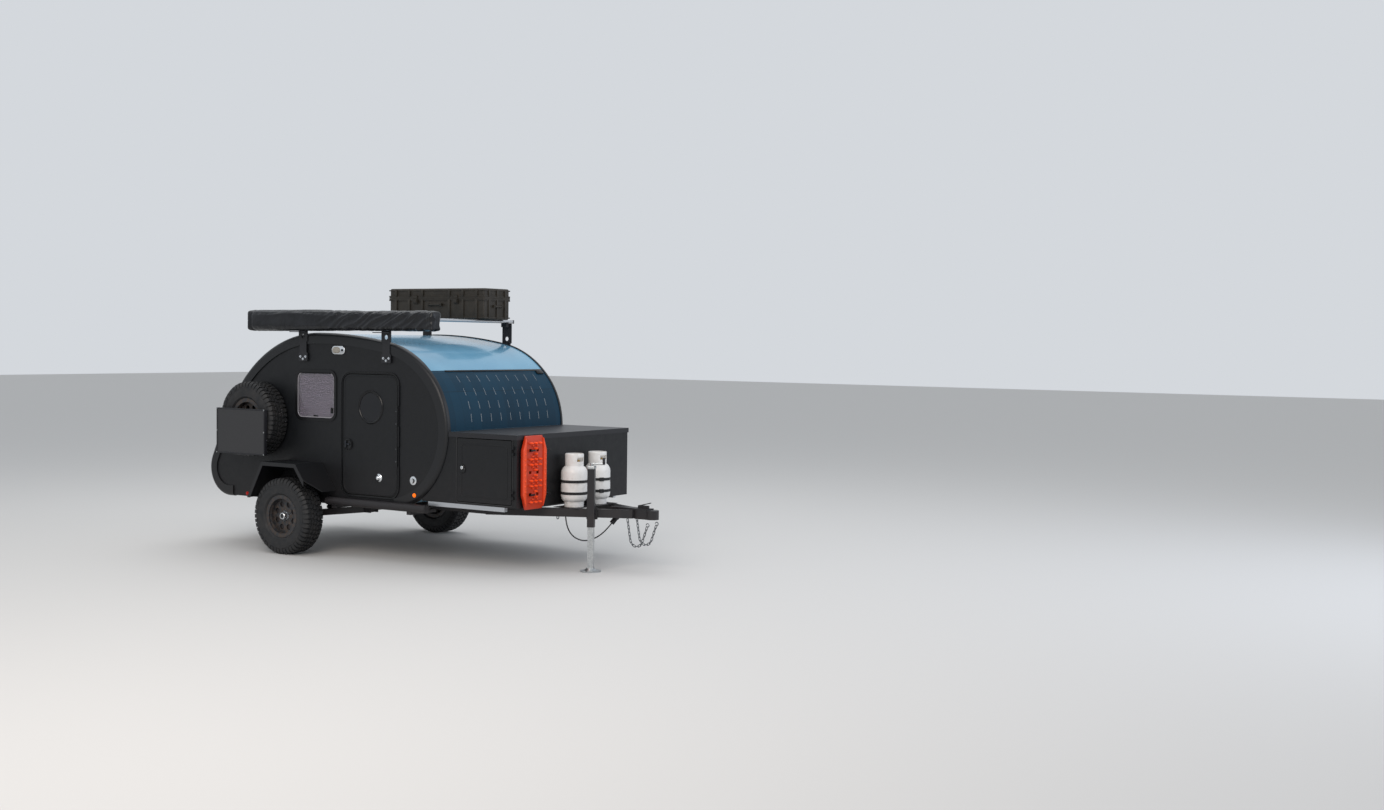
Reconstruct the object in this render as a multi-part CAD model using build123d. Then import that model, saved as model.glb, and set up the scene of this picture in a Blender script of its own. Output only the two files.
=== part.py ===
from build123d import *
from math import cos, radians, sin, tan
import os

# Off-road teardrop trailer, in millimetres. +X points forward to the coupler, +Y to the left, +Z up,
# and the ground is Z = 0. Places along X are measured from the wheel axle; every finished piece is
# then moved by axle_x, so that the middle of the overall length lies at X = 0.
# A piece that has a twin is drawn on the left (+Y) and mirrored.

# Body shell
crown_x = 170.0            # where the roof line is level
body_top = 2120.0
body_bottom = 485.0
body_half_width = 870.0    # outer face of the side panels
wall = 38.0                # side panels, roof, doors and hatch
# The roof line leaves the crown in tangent arcs; the last arc of each list runs on to body_bottom.
front_arcs = [  # radius, sweep in degrees
    (5000.0, 10.5),
    (956.0, 39.0),
]
rear_arcs = [  # radius, sweep in degrees
    (1390.0, 59.0),
    (5350.0, 7.0),
]
band_width = 95.0          # moulded rim round each side, as seen on the side
band_proud = 10.0          # beyond the roof skin
band_face = 12.0           # beyond the side panel
band_depth = 50.0          # across the corner, along Y, as far in as the side panel
band_round = 36.0
band_open_rear = -1010.0   # below, the side panel reaches the bottom edge between these two places
band_open_front = 1180.0
hatch_x = -500.0           # joint between roof and rear hatch
hatch_bottom = 640.0
hatch_gap = 8.0
side_gap = 5.0             # beside the hatch
floor_thick = 25.0
bulkhead_x = -430.0
bulkhead_thick = 18.0

# Chassis
rail_y = 600.0
rail_width = 50.0
rail_height = 76.0
rail_rear = -1000.0
rail_front = 2100.0
tongue_angle = 25.0        # each tongue rail to the centre line
tongue_tip_x = 3330.0
tongue_tip_y = 58.0
crossmember_xs = [-950.0, -350.0, 620.0, 1290.0, 1700.0, 2070.0]
outrigger_xs = [-950.0, 300.0, 1290.0]
outrigger_height = 50.0
bearer_xs = [1760.0, 2040.0, 2450.0]
bearer_width = 40.0
plate = 4.0                # sheet steel

# Coupler and safety chains
ball_x = 3490.0
ball_z = 505.0
ball_bore = 25.9           # radius, for a 50.8 mm ball
coupler_nose = 60.0        # ahead of the ball's centre
coupler_width = 104.0
coupler_bottom = 480.0
coupler_top = 575.0
coupler_rear = 3060.0
latch_back = 150.0         # latch handle behind the ball
chain_wire = 7.0
chain_pitch = 31.2
chain_width = 25.0
chain_links = 17
chain_x = 3270.0           # where each chain is welded on
chain_y = 74.0

# Wheels and suspension
tyre_radius = 366.5
tyre_width = 235.0
tyre_sides = 48            # flats round each tyre
tyre_outer = [  # radius at the corners, distance from the tyre's middle
    (tyre_radius, 91.5),
    (tyre_radius - 7.0, 100.5),
    (tyre_radius - 28.0, 110.5),
    (tyre_radius - 66.0, tyre_width / 2),
]
tyre_inner_wide = 258.0    # radius of the side wall's flat, inner edge
bead_radius = 190.5
rim_lip_radius = 205.0
rim_width = 190.0
rim_wall = 6.0
wheel_face_y = body_half_width + 330.0   # outer face of the tyres
disc_offset = 42.0         # wheel disc outboard of the wheel's middle
disc_thick = 10.0
disc_holes = 8
disc_hole_radius = 27.0
disc_hole_circle = 116.0
hub_radius = 62.0
hub_length = 150.0
spindle_radius = 20.0
spindle_play = 0.05
knuckle_y = body_half_width + 35.0
arm_size = 60.0
arm_lead = 80.0            # straight run behind each pivot
pivot_x = 620.0
pivot_z = 432.0
pivot_inner_y = 240.0
air_spring_x = 100.0
air_spring_radius = 58.0
spring_seat_z = 396.0

# Fenders: corners of the outer line in side view
fender_rear = (-433.0, 524.0)
fender_top_rear = (-239.0, 880.0)
fender_top_front = (224.0, 880.0)
fender_front = (420.0, 615.0)
fender_outer_y = wheel_face_y + 15.0
fender_lip = 36.0
fender_clip_x = 330.0      # where the front lower corner is cut back
fender_clip_y = body_half_width + 170.0

# Rock sliders and the rails under the tongue box
slider_radius = 38.0
slider_y = body_half_width + 55.0
slider_z = 522.0
slider_rear = 360.0
slider_front = 1620.0
slider_stub_xs = [440.0, 1400.0]
slider_stub = 50.0
box_rail_rear = 1580.0
box_rail_front = 2480.0
box_rail_height = 40.0
box_rail_width = 40.0

# Entry doors and windows
door_rear = 510.0
door_front = 1208.0
door_bottom = 600.0
door_top = 1739.0
door_corner = 92.0
door_gap = 6.0
frame_width = 20.0
frame_proud = 4.0
porthole_x = 864.0
porthole_z = 1432.0
porthole_radius = 142.0
porthole_ring = 19.0
ring_proud = 7.0
glass = 5.0
window_rear = -112.0
window_front = 399.0
window_bottom = 1300.0
window_top = 1750.0
window_corner = 70.0
window_frame = 24.0
hinge_radius = 6.0
hinge_stand = 11.0         # hinge axis outside the panel
hinge_tab = 24.0
knuckle_gap = 0.5
door_knuckles = 5
handle_x = 580.0
handle_z = 1070.0
handle_size = 108.0
bumper_x = 975.0
bumper_z = 769.0
bumper_radius = 40.0
bumper_reach = 32.0
catch_x = 1409.0
catch_reach = 28.0

# Tongue box
box_front = 2614.0
box_half_width = body_half_width - 12.0
box_bottom = 589.0
box_top = 1240.0
box_wall = 20.0
cap_skirt = 44.0
cap_over = 8.0
cap_sheet = 3.0
body_clear = 3.0
box_door_rear = 1930.0
box_door_front = box_front - 54.0
box_door_bottom = 615.0
box_door_top = 1188.0
box_door_corner = 14.0
box_door_proud = 5.0
box_door_knuckles = 5

# Things on the tongue
bottle_radius = 122.0
bottle_y = 180.0
bottle_height = 390.0
bottle_foot = 40.0
bottle_gap = 9.0           # between bottle and box
collar_radius = 84.0
collar_height = 96.0
post_height = 300.0        # upright between the bottles, which their straps pull against
post_thick = 22.0
board_y = box_half_width - 208.0
board_width = 330.0
board_length = 660.0
board_thick = 60.0
board_floor = 22.0         # thickness between its edges
board_edge = 42.0          # width of each standing edge
board_edge_rise = 14.0
board_end_width = 232.0    # the ends narrow to this
board_taper = 130.0        # along each end
board_slot = (34.0, 26.0)  # each slot: across, up
board_slot_y = 52.0
board_slots = [0.2, 0.5, 0.8]   # of the length, up from the foot
stud_rows = 12
stud_columns = 3
stud_pitch = (48.0, 62.0)  # up, across
stud_radii = (17.0, 9.0)   # foot, tip
board_stand = 12.0
board_bottom = 572.0
jack_x = box_front + 406.0
jack_y = 290.0
jack_tube = 64.0
jack_wall = 5.0
jack_play = 0.3
jack_bottom = 404.0
jack_top = 930.0
jack_leg_top = 560.0
jack_foot_radius = 95.0
jack_foot_thick = 12.0

# Spare wheel and the table folded against it
spare_x = -585.0
spare_z = 1274.0
spare_gap = 2.0
table_x = -600.0
table_width = 671.0
table_height = 440.0
table_thick = 34.0
table_bottom = 936.0
table_hinge_drop = 9.0
table_bar_width = 300.0

# Roof gear
bar_xs = [-14.0, 1075.0]
bar_width = 58.0
bar_height = 32.0
bar_z = 2268.0
bar_left = body_half_width + 90.0
bar_right = body_half_width + 64.0
bracket_width = 118.0
bracket_bottom = 1852.0
bracket_plate = 8.0
bracket_waist = 14.0       # how far each side is cut in
bracket_hole_z = 2093.0
bracket_hole_radius = 22.0
bracket_bolts = [(-34.0, 44.0), (34.0, 44.0), (0.0, 22.0)]   # across, above the lower end
bolt_radius = 6.0
bag_rear = -600.0
bag_front = 1810.0
bag_inner_y = body_half_width + 65.0
bag_depth = 150.0
bag_bottom = 2140.0
bag_height = 205.0
case_rear = -110.0
case_front = 1170.0
case_left = body_half_width - 50.0
case_width = 415.0
case_height = 314.0
case_lid_height = 100.0
case_wall = 8.0
case_seam = 1.0
case_hinge_in = 180.0      # outer hinges in from the ends
case_rib = 6.0             # ribs beyond the shell
case_rib_width = 26.0
case_rib_parts = [0.08, 0.22, 0.36, 0.64, 0.78, 0.92]   # of the length
case_end_rib_parts = [0.2, 0.5, 0.8]                    # of the width

# Solar sheet and lamps
solar_thick = 4.0
solar_top = 1790.0
solar_bottom = 1242.0
solar_margin = 3.0         # beside the moulded rims
porch_x = 449.0
porch_z = 1965.0
porch_length = 172.0
porch_height = 84.0
porch_proud = 26.0
amber_x = 1431.0
amber_z = 635.0
tail_x = -811.0
tail_z = 512.0
rear_lamp_y = 620.0         # round lamps under the rear hatch
rear_lamp_z = 588.0
rear_lamp_radius = 44.0
rear_lamp_x = -1316.0
lamp_radius = 15.0
lamp_proud = 14.0

# Tow cable: the route it hangs in, from its gland under a tongue rail to its plug
cable_radius = 6.0
cable_route = [
    (2760.0, -326.0, 483.0),
    (2768.0, -322.0, 395.0),
    (2815.0, -292.0, 300.0),
    (2902.0, -238.0, 258.0),
    (2995.0, -178.0, 290.0),
    (3060.0, -120.0, 356.0),
    (3096.0, -76.0, 424.0),
]
plug_radius = 23.0
plug_length = 62.0
holder_wall = 4.0

# Worked out from the sizes above
far = 5000.0               # longer than any piece, for cutting
wheel_y = wheel_face_y - tyre_width / 2
rail_top = body_bottom + rail_height
roof_half = body_half_width + band_face - band_depth
inner_y = body_half_width - wall


def block(x0, x1, y0, y1, z0, z1):
    return Pos((x0 + x1) / 2, (y0 + y1) / 2, (z0 + z1) / 2) * Box(abs(x1 - x0), abs(y1 - y0), abs(z1 - z0))


def rod(start, end, radius):
    """A round bar between two points."""
    way = Vector(*end) - Vector(*start)
    return extrude(Plane(start, z_dir=way) * Circle(radius), way.length)


def beam(start, end, width, height):
    """A rectangular section between two points: width lies level and height across it."""
    way = Vector(*end) - Vector(*start)
    level = Vector(0, 0, 1).cross(way)
    return extrude(Plane(start, x_dir=level, z_dir=way) * Rectangle(width, height), way.length)


def slab(face, y0, y1):
    """A face in the XZ plane made solid between two values of Y."""
    return extrude(Pos(0, y0, 0) * face, y1 - y0, dir=(0, 1, 0))


def upright(face):
    """A flat sketch of x and z, stood up in the XZ plane."""
    return Rot(90, 0, 0) * face


def panel(x0, x1, z0, z1, corner, y0, y1):
    """An upright panel along X with rounded corners."""
    face = Pos((x0 + x1) / 2, (z0 + z1) / 2) * RectangleRounded(x1 - x0, z1 - z0, corner)
    return slab(upright(face), y0, y1)


def disc(x, z, radius, y0, y1):
    return slab(upright(Pos(x, z) * Circle(radius)), y0, y1)


def turned(x, z, y0, outline):
    """A round piece on an axis along Y: outline holds rows of radius, distance outboard of y0."""
    face = Plane.XY * Polygon(*[(x + r, y0 + y) for r, y in outline], align=None)
    return revolve(Pos(0, 0, z) * face, Axis((x, 0, z), (0, 1, 0)))


def twin(shape):
    return mirror(shape, about=Plane.XZ)


def both(*shapes):
    return [made for shape in shapes for made in (shape, twin(shape))]


def arcs_of(arcs, inset, way):
    """Centre, radius, start and end angle of each arc, from the crown down; way is 1 to the front."""
    x, z, angle, rows = crown_x, body_top - inset, 0.0, []
    for radius, sweep in arcs + [(None, None)]:
        if radius is None:
            sweep = 180.0 - angle
            r = (z - body_bottom - inset) / (1 + cos(radians(angle)))
        else:
            r = radius - inset
        cx, cz = x - way * r * sin(radians(angle)), z - r * cos(radians(angle))
        rows.append((cx, cz, r, angle, angle + sweep))
        angle += sweep
        x, z = cx + way * r * sin(radians(angle)), cz + r * cos(radians(angle))
    return rows


def body_outline(inset):
    """The side view of the body, moved inwards by inset."""
    edges, ends = [], []
    for arcs, way in ((front_arcs, 1), (rear_arcs, -1)):
        for cx, cz, r, start, end in arcs_of(arcs, inset, way):
            angles = [radians(start + (end - start) * part) for part in (0.0, 0.5, 1.0)]
            points = [(cx + way * r * sin(a), 0.0, cz + r * cos(a)) for a in angles]
            edges.append(ThreePointArc(*points))
        ends.append(points[-1])
    return make_face(edges + [Line(*ends)])


def roof_at(x, inset=0.0):
    """Height of the roof line over a place along X."""
    way, arcs = (1, front_arcs) if x > crown_x else (-1, rear_arcs)
    for cx, cz, r, start, end in arcs_of(arcs, inset, way):
        if way * (x - cx) <= r * sin(radians(min(end, 90.0))):
            return cz + (r * r - (x - cx) ** 2) ** 0.5


def hinge(start, end, wall_tab, leaf_tab, count):
    """Knuckles in line, each with a tab to its carrier: returns those that stay and those that move."""
    start, end = Vector(*start), Vector(*end)
    step = (end - start) * (1.0 / count)
    trim = step.normalized() * (knuckle_gap / 2)
    kept, moved = [], []
    for i in range(count):
        a, b = start + step * i + trim, start + step * (i + 1) - trim
        reach = b + Vector(*(leaf_tab if i % 2 else wall_tab))
        low, high = [[pick(p, q) for p, q in zip(tuple(a), tuple(reach))] for pick in (min, max)]
        knuckle = rod(tuple(a), tuple(b), hinge_radius)
        knuckle = knuckle + block(low[0], high[0], low[1], high[1], low[2], high[2])
        (moved if i % 2 else kept).append(knuckle)
    return kept, moved


pieces = {}

# Body shell: side panels, moulded rims, roof, hatch, floor and bulkhead
def side_area(y0, y1):
    """What the moulded rim leaves of the side, down to the bottom edge where the rim is open."""
    foot = block(band_open_rear, band_open_front, y0, y1, 0, body_bottom + band_width + 1)
    return slab(body_outline(band_width), y0, y1) + (slab(body_outline(0), y0, y1) & foot)


door_hole = panel(door_rear - door_gap, door_front + door_gap, door_bottom - door_gap, door_top + door_gap,
                  door_corner + door_gap, 0, far)
window_hole = panel(window_rear, window_front, window_bottom, window_top, window_corner, 0, far)
side_panel = side_area(inner_y, body_half_width) - door_hole - window_hole

band = slab(body_outline(-band_proud), roof_half, body_half_width + band_face)
rim = [e for e in band.edges() if e.center().Y > body_half_width + band_face - 0.1]
band = fillet(rim, band_round) - side_area(roof_half - 1, body_half_width + band_face + 1)
band = band - block(band_open_rear, band_open_front, 0, far, 0, body_bottom + band_width + 1)

shell = slab(body_outline(0) - body_outline(wall), -roof_half, roof_half)
pieces["roof_shell"] = shell & block(hatch_x, far, -far, far, rail_top, far)
hatch_half = roof_half - side_gap
hatch = shell & block(-far, hatch_x - hatch_gap, -hatch_half, hatch_half, hatch_bottom, far)
inside = slab(body_outline(wall), -inner_y, inner_y)
floor_top = rail_top + floor_thick
floor_board = inside & block(-far, far, -far, far, rail_top, floor_top)
valance = shell & block(-far, rail_rear, -far, far, 0, hatch_bottom - hatch_gap)
pieces["floor_pan"] = floor_board + valance
pieces["galley_bulkhead"] = inside & block(bulkhead_x - bulkhead_thick, bulkhead_x, -far, far, floor_top, far)

# Hatch hinge, across the roof
hatch_axis_x = hatch_x - hatch_gap / 2
hatch_axis_z = roof_at(hatch_axis_x) + hinge_stand
hatch_span = roof_half - 120
kept, moved = hinge((hatch_axis_x, -hatch_span, hatch_axis_z), (hatch_axis_x, hatch_span, hatch_axis_z),
                    (hinge_tab, 0, -hinge_stand - 14), (-hinge_tab, 0, -hinge_stand - 14), 9)
roof_cut = slab(body_outline(wall / 2), -far, far)
for knuckle in kept:
    pieces["roof_shell"] = pieces["roof_shell"] + (knuckle - roof_cut)
for knuckle in moved:
    hatch = hatch + (knuckle - roof_cut)
pieces["rear_hatch"] = hatch

# Entry doors with their hinges
leaf = panel(door_rear, door_front, door_bottom, door_top, door_corner, inner_y, body_half_width)
leaf = leaf - disc(porthole_x, porthole_z, porthole_radius, 0, far)
door_axis = (door_front + door_gap / 2, body_half_width + hinge_stand)
kept, moved = hinge((*door_axis, door_bottom + door_corner), (*door_axis, door_top - door_corner),
                    (hinge_tab, -hinge_stand, 0), (-hinge_tab, -hinge_stand, 0), door_knuckles)
out = door_gap + frame_width
trim_room = panel(door_rear - out, door_front + out, door_bottom - out, door_top + out, door_corner + out,
                  0, far)
pieces["edge_bands"] = both(band - trim_room)
trim = (trim_room & block(0, far, body_half_width, body_half_width + frame_proud, 0, far)) - door_hole
for knuckle in kept:
    trim = trim + knuckle
for knuckle in moved:
    leaf = leaf + knuckle
out = window_frame
window_trim = panel(window_rear - out, window_front + out, window_bottom - out, window_top + out,
                    window_corner + out, body_half_width, body_half_width + 2 * frame_proud)
out = -2 * frame_proud
window_clear = panel(window_rear - out, window_front + out, window_bottom - out, window_top + out,
                     window_corner + out, 0, far)
window_trim = window_trim - window_clear
pieces["opening_trims"] = both(trim, window_trim)
pane = panel(window_rear, window_front, window_bottom, window_top, window_corner, body_half_width - glass,
             body_half_width)
pieces["window_panes"] = both(pane)
port = disc(porthole_x, porthole_z, porthole_radius, body_half_width - glass, body_half_width)
port_ring = disc(porthole_x, porthole_z, porthole_radius + porthole_ring, body_half_width,
                 body_half_width + ring_proud)
port_ring = port_ring - disc(porthole_x, porthole_z, porthole_radius - ring_proud, 0, far)
half = handle_size / 2
handle = panel(handle_x - half, handle_x + half, handle_z - half, handle_z + half, half / 2,
               body_half_width, body_half_width + 10)
grip_rise = half * 0.7
handle = handle + panel(handle_x - half / 2, handle_x + half / 2, handle_z - grip_rise, handle_z + grip_rise,
                        half / 4, body_half_width + 10, body_half_width + 24)
bumper_foot = [(0, 0), (bumper_radius, 0), (bumper_radius, 6)]
bumper = turned(bumper_x, bumper_z, body_half_width,
                bumper_foot + [(20, 14), (17, bumper_reach), (0, bumper_reach)])
catch = turned(catch_x, bumper_z, body_half_width,
               bumper_foot + [(24, 10), (20, catch_reach), (0, catch_reach)])
pieces["cabin_side_left"] = side_panel
pieces["cabin_side_right"] = twin(side_panel)
pieces["door_left"] = leaf
pieces["door_right"] = twin(leaf)
pieces["porthole_left"] = port
pieces["porthole_right"] = twin(port)
pieces["door_fittings_left"] = [port_ring, handle, bumper]
pieces["door_fittings_right"] = [twin(port_ring), twin(handle), twin(bumper)]
pieces["door_catches"] = both(catch)

# Solar sheet on the front of the roof
solar_half = roof_half - solar_margin
solar = slab(body_outline(-solar_thick) - body_outline(0), -solar_half, solar_half)
pieces["solar_sheet"] = solar & block(crown_x, far, -far, far, solar_bottom, solar_top)

# Lamps
lamp = Pos(porch_x, porch_z) * SlotOverall(porch_length, porch_height)
porch = extrude(upright(lamp), porch_proud, dir=(0, 1, 0), taper=18)
pieces["porch_lamps"] = both(Pos(0, body_half_width, 0) * porch)
dome = [(0, 0), (lamp_radius + 4, 0), (lamp_radius + 4, 4), (lamp_radius, 4), (lamp_radius - 5, lamp_proud),
        (0, lamp_proud)]
pieces["amber_lamps"] = both(turned(amber_x, amber_z, body_half_width + band_face, dome))
lamp_at = (rear_lamp_y, rear_lamp_z)
rear_lamp = rod((rear_lamp_x, *lamp_at), (rail_rear, *lamp_at), rear_lamp_radius)
rear_lamp = rear_lamp - slab(body_outline(0), 0, far)
pieces["tail_lamps"] = both(turned(tail_x, tail_z, body_half_width, dome), rear_lamp)

# Chassis: rails, crossmembers, outriggers and floor bearers
rail = block(rail_rear, rail_front, rail_y - rail_width / 2, rail_y + rail_width / 2, body_bottom, rail_top)
pieces["chassis_rails"] = both(rail)
rail_in, rail_out = rail_y - rail_width / 2, rail_y + rail_width / 2
members = []
for x in crossmember_xs:
    members.append(block(x - rail_width / 2, x + rail_width / 2, -rail_in, rail_in, body_bottom, rail_top))
for x in outrigger_xs:
    arm = block(x - rail_width / 2, x + rail_width / 2, rail_out, inner_y, rail_top - outrigger_height,
                rail_top)
    members += both(arm)
for x in bearer_xs:
    members.append(block(x - bearer_width / 2, x + bearer_width / 2, box_rail_width - box_half_width,
                         box_half_width - box_rail_width, rail_top, box_bottom))
pieces["crossmembers"] = members

slope = tan(radians(tongue_angle))
rear_y = tongue_tip_y + (tongue_tip_x - rail_front) * slope
middle_z = (body_bottom + rail_top) / 2
run = Vector(rail_front - tongue_tip_x, rear_y - tongue_tip_y, 0).normalized() * 100
start = (tongue_tip_x - run.X, tongue_tip_y - run.Y, middle_z)
end = (rail_front + run.X, rear_y + run.Y, middle_z)
tongue = beam(start, end, rail_width, rail_height) & block(rail_front, tongue_tip_x, 0.2, far, 0, far)
pieces["tongue_rails"] = both(tongue)

# Silver rails along the tongue box
box_rail = block(box_rail_rear, box_rail_front, box_half_width - box_rail_width, box_half_width,
                 box_bottom - box_rail_height, box_bottom)
pieces["box_rails"] = both(box_rail)

# Coupler: channel over the tongue tip, nose round the ball, latch
half = coupler_width / 2
nose = Pos(ball_x, 0, coupler_bottom) * Cylinder(coupler_nose, coupler_top - coupler_bottom - 12,
                                                 align=(Align.CENTER, Align.CENTER, Align.MIN))
neck = block(tongue_tip_x, ball_x, -half, half, coupler_bottom, coupler_top - 12)
deck = block(coupler_rear, ball_x - 20, -half, half, rail_top, coupler_top)
coupler = nose + neck + deck
coupler = coupler - Pos(ball_x, 0, ball_z) * Sphere(ball_bore)
mouth = Cylinder(ball_bore, 60, align=(Align.CENTER, Align.CENTER, Align.MAX))
coupler = coupler - Pos(ball_x, 0, ball_z) * mouth
latch = block(ball_x - latch_back, ball_x - 40, -12, 12, coupler_top, coupler_top + 26)
latch = latch + beam((ball_x - latch_back, 0, coupler_top + 20), (ball_x - 20, 0, coupler_top + 52), 24, 8)
pieces["coupler"] = coupler + latch


def chain_link():
    """A flat link with eight corners, lying along X."""
    length, wide, cut = chain_pitch + 2 * chain_wire, chain_width, 7.0
    points = []
    for sx, sz in ((1, 1), (-1, 1), (-1, -1), (1, -1)):
        corner = [(sx * (length / 2 - cut), sz * wide / 2), (sx * length / 2, sz * (wide / 2 - cut))]
        points += corner if sx * sz < 0 else corner[::-1]
    outer = Polygon(*points, align=None)
    inner_l, inner_w, inner_cut = chain_pitch / 2, wide / 2 - chain_wire, 3.0
    points = []
    for sx, sz in ((1, 1), (-1, 1), (-1, -1), (1, -1)):
        corner = [(sx * (inner_l - inner_cut), sz * inner_w), (sx * inner_l, sz * (inner_w - inner_cut))]
        points += corner if sx * sz < 0 else corner[::-1]
    return extrude(outer - Polygon(*points, align=None), chain_wire / 2, both=True)


def hanging_chain(x, y, z):
    """Links along a narrow loop: down, round and up again towards the coupler's nose."""
    link, links = chain_link(), []
    px, pz, angle = x, z, -84.0
    for i in range(chain_links):
        part = i / (chain_links - 1)
        angle = -80.0 + 150.0 * max(0.0, min(1.0, (part - 0.36) / 0.36))
        step = Vector(cos(radians(angle)), 0, sin(radians(angle))) * (chain_pitch - 0.6)
        middle = Vector(px, y, pz) + step * 0.5
        place = Location(Plane(tuple(middle), x_dir=tuple(step), z_dir=(0, 1, 0)))
        links.append(place * (Rot(90 if i % 2 else 0, 0, 0) * link))
        px, pz = px + step.X, pz + step.Z
    return links


chains = hanging_chain(chain_x, chain_y, body_bottom - 8.15)
pieces["safety_chains"] = chains + [twin(link) for link in chains]

# Wheels: tyre, and rim with its disc and hub in one
half = tyre_width / 2


def tyre():
    """Flats round a wide tread, sloping shoulders and bulged side walls, hollowed to fit the rim."""
    reach = 1 / cos(radians(180.0 / tyre_sides))
    rows = tyre_outer + [(tyre_inner_wide * reach, half), (bead_radius * reach, rim_width / 2 - 14)]
    rows = rows + [(radius, -y) for radius, y in reversed(rows)]
    turns = [radians(360.0 * i / tyre_sides) for i in range(tyre_sides)]
    rings = [[(radius * cos(turn), y, radius * sin(turn)) for turn in turns] for radius, y in rows]
    flats = []
    for first, second in zip(rings, rings[1:] + rings[:1]):
        for i in range(tyre_sides):
            j = (i + 1) % tyre_sides
            flats.append(Face(Wire.make_polygon([first[i], first[j], second[j], second[i]])))
    return Solid(Shell(flats))


def rim():
    """Barrel with two lips, a dished disc with round holes, and a hub with its cap; outboard is +Y."""
    w = rim_width / 2
    r, lip = bead_radius, rim_lip_radius
    outer = [(r - 22, -w), (lip, -w), (lip, -w + 6), (r, -w + 14), (r, w - 14), (lip, w - 6), (lip, w),
             (r - 22, w)]
    inner = [(r - 22, w - 14), (r - 28, w - 30), (r - 28, -w + 30), (r - 22, -w + 14)]
    barrel = revolve(Polygon(*(outer + inner), align=None), Axis.Y)
    rows = [(0, 0), (r - 27, 0), (r - 27, disc_thick), (0, disc_thick)]
    plate_disc = turned(0, 0, disc_offset - disc_thick, rows)
    for i in range(disc_holes):
        a = radians(360.0 / disc_holes * (i + 0.5))
        x, z = disc_hole_circle * cos(a), disc_hole_circle * sin(a)
        plate_disc = plate_disc - disc(x, z, disc_hole_radius, -far, far)
    hub_back = disc_offset + 22 - hub_length
    face, cap = hub_length - 22, hub_length + 18
    hub = turned(0, 0, hub_back, [(0, 0), (hub_radius, 0), (hub_radius, face), (34, face), (30, cap), (0, cap)])
    bore, bore_radius = hub_length - 30, spindle_radius + spindle_play
    hub = hub - turned(0, 0, hub_back - 1, [(0, 0), (bore_radius, 0), (bore_radius, bore), (0, bore)])
    return barrel + plate_disc + hub


tyre_solid, rim_solid = tyre(), rim()
place = Pos(0, wheel_y, tyre_radius)
pieces["tyre_left"] = place * tyre_solid
pieces["tyre_right"] = twin(place * tyre_solid)
pieces["rim_left"] = place * rim_solid
pieces["rim_right"] = twin(place * rim_solid)

# Suspension: trailing arms, hangers, air springs and stub axles
knuckle_in = knuckle_y - 25
outer_pivot = (pivot_x, rail_y, pivot_z)
inner_pivot = (pivot_x, pivot_inner_y, pivot_z)
hub_end = (0, knuckle_in - arm_size / 2, tyre_radius)
bend = Vector(-arm_lead, 0, -8)
outer_bend, inner_bend = Vector(*outer_pivot) + bend, Vector(*inner_pivot) + bend
joint_at = outer_bend + (Vector(*hub_end) - outer_bend) * 0.62
arm = beam(outer_pivot, tuple(outer_bend), arm_size, arm_size)
arm = arm + beam(tuple(outer_bend), hub_end, arm_size, arm_size)
arm = arm + beam(inner_pivot, tuple(inner_bend), arm_size * 0.8, arm_size * 0.8)
arm = arm + beam(tuple(inner_bend), tuple(joint_at), arm_size * 0.8, arm_size * 0.8)
arm = arm + block(-60, 60, knuckle_in - arm_size, knuckle_in, tyre_radius - 60, tyre_radius + 60)
arm = arm + rod((pivot_x, pivot_inner_y - 45, pivot_z), (pivot_x, pivot_inner_y + 45, pivot_z), 34)
arm = arm + rod((pivot_x, rail_y - 45, pivot_z), (pivot_x, rail_y + 45, pivot_z), 34)
seat = block(air_spring_x - 60, air_spring_x + 60, rail_y - 60, knuckle_in - 40, spring_seat_z - 12,
             spring_seat_z)
pieces["trailing_arms"] = both(arm + seat)
hangers = []
for y in (pivot_inner_y, rail_y):
    for side in (-1, 1):
        lug = block(pivot_x - 40, pivot_x + 40, y + side * 45, y + side * (45 + 8), pivot_z - 34, body_bottom)
        hangers.append(lug)
pieces["arm_hangers"] = both(*hangers)
spring_length = body_bottom - spring_seat_z
bellows = turned(0, 0, 0, [(0, 0), (air_spring_radius - 14, 0), (air_spring_radius, 16), (air_spring_radius, 32),
                           (air_spring_radius - 12, 44), (air_spring_radius, 56), (air_spring_radius, 72),
                           (air_spring_radius - 14, spring_length), (0, spring_length)])
bellows = Pos(air_spring_x, rail_y, spring_seat_z) * (Rot(90, 0, 0) * bellows)
pieces["air_springs"] = both(bellows)
flange = block(-60, 60, knuckle_in, knuckle_y, tyre_radius - 60, tyre_radius + 60)
spindle_end = wheel_y + disc_offset - disc_thick
axle_rod = rod((0, knuckle_y - 5, tyre_radius), (0, spindle_end, tyre_radius), spindle_radius)
pieces["stub_axles"] = both(flange + axle_rod)

# Fenders: bent plate with a turned-down outer lip, front lower corner cut back
run_out = 400.0
rear_slope = (fender_top_rear[0] - fender_rear[0]) / (fender_top_rear[1] - fender_rear[1])
front_slope = (fender_front[0] - fender_top_front[0]) / (fender_top_front[1] - fender_front[1])
low_rear = (fender_rear[0] - (fender_rear[1] - run_out) * rear_slope, run_out)
low_front = (fender_front[0] + (fender_front[1] - run_out) * front_slope, run_out)
outline = Polygon(low_rear, fender_top_rear, fender_top_front, low_front, align=None)
fender = slab(upright(outline), body_half_width, fender_outer_y)
fender = fender - slab(upright(offset(outline, -plate, kind=Kind.INTERSECTION)), 0, fender_outer_y - plate)
fender = fender - slab(upright(offset(outline, -fender_lip, kind=Kind.INTERSECTION)), 0, far)
fender = fender - block(-far, 0, 0, far, 0, fender_rear[1]) - block(0, far, 0, far, 0, fender_front[1])
clip = Polygon((fender_clip_x, fender_outer_y + 1), (fender_front[0] + 1, fender_clip_y),
               (fender_front[0] + 50, fender_clip_y), (fender_front[0] + 50, fender_outer_y + 1), align=None)
fender = fender - extrude(clip, far)
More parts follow.
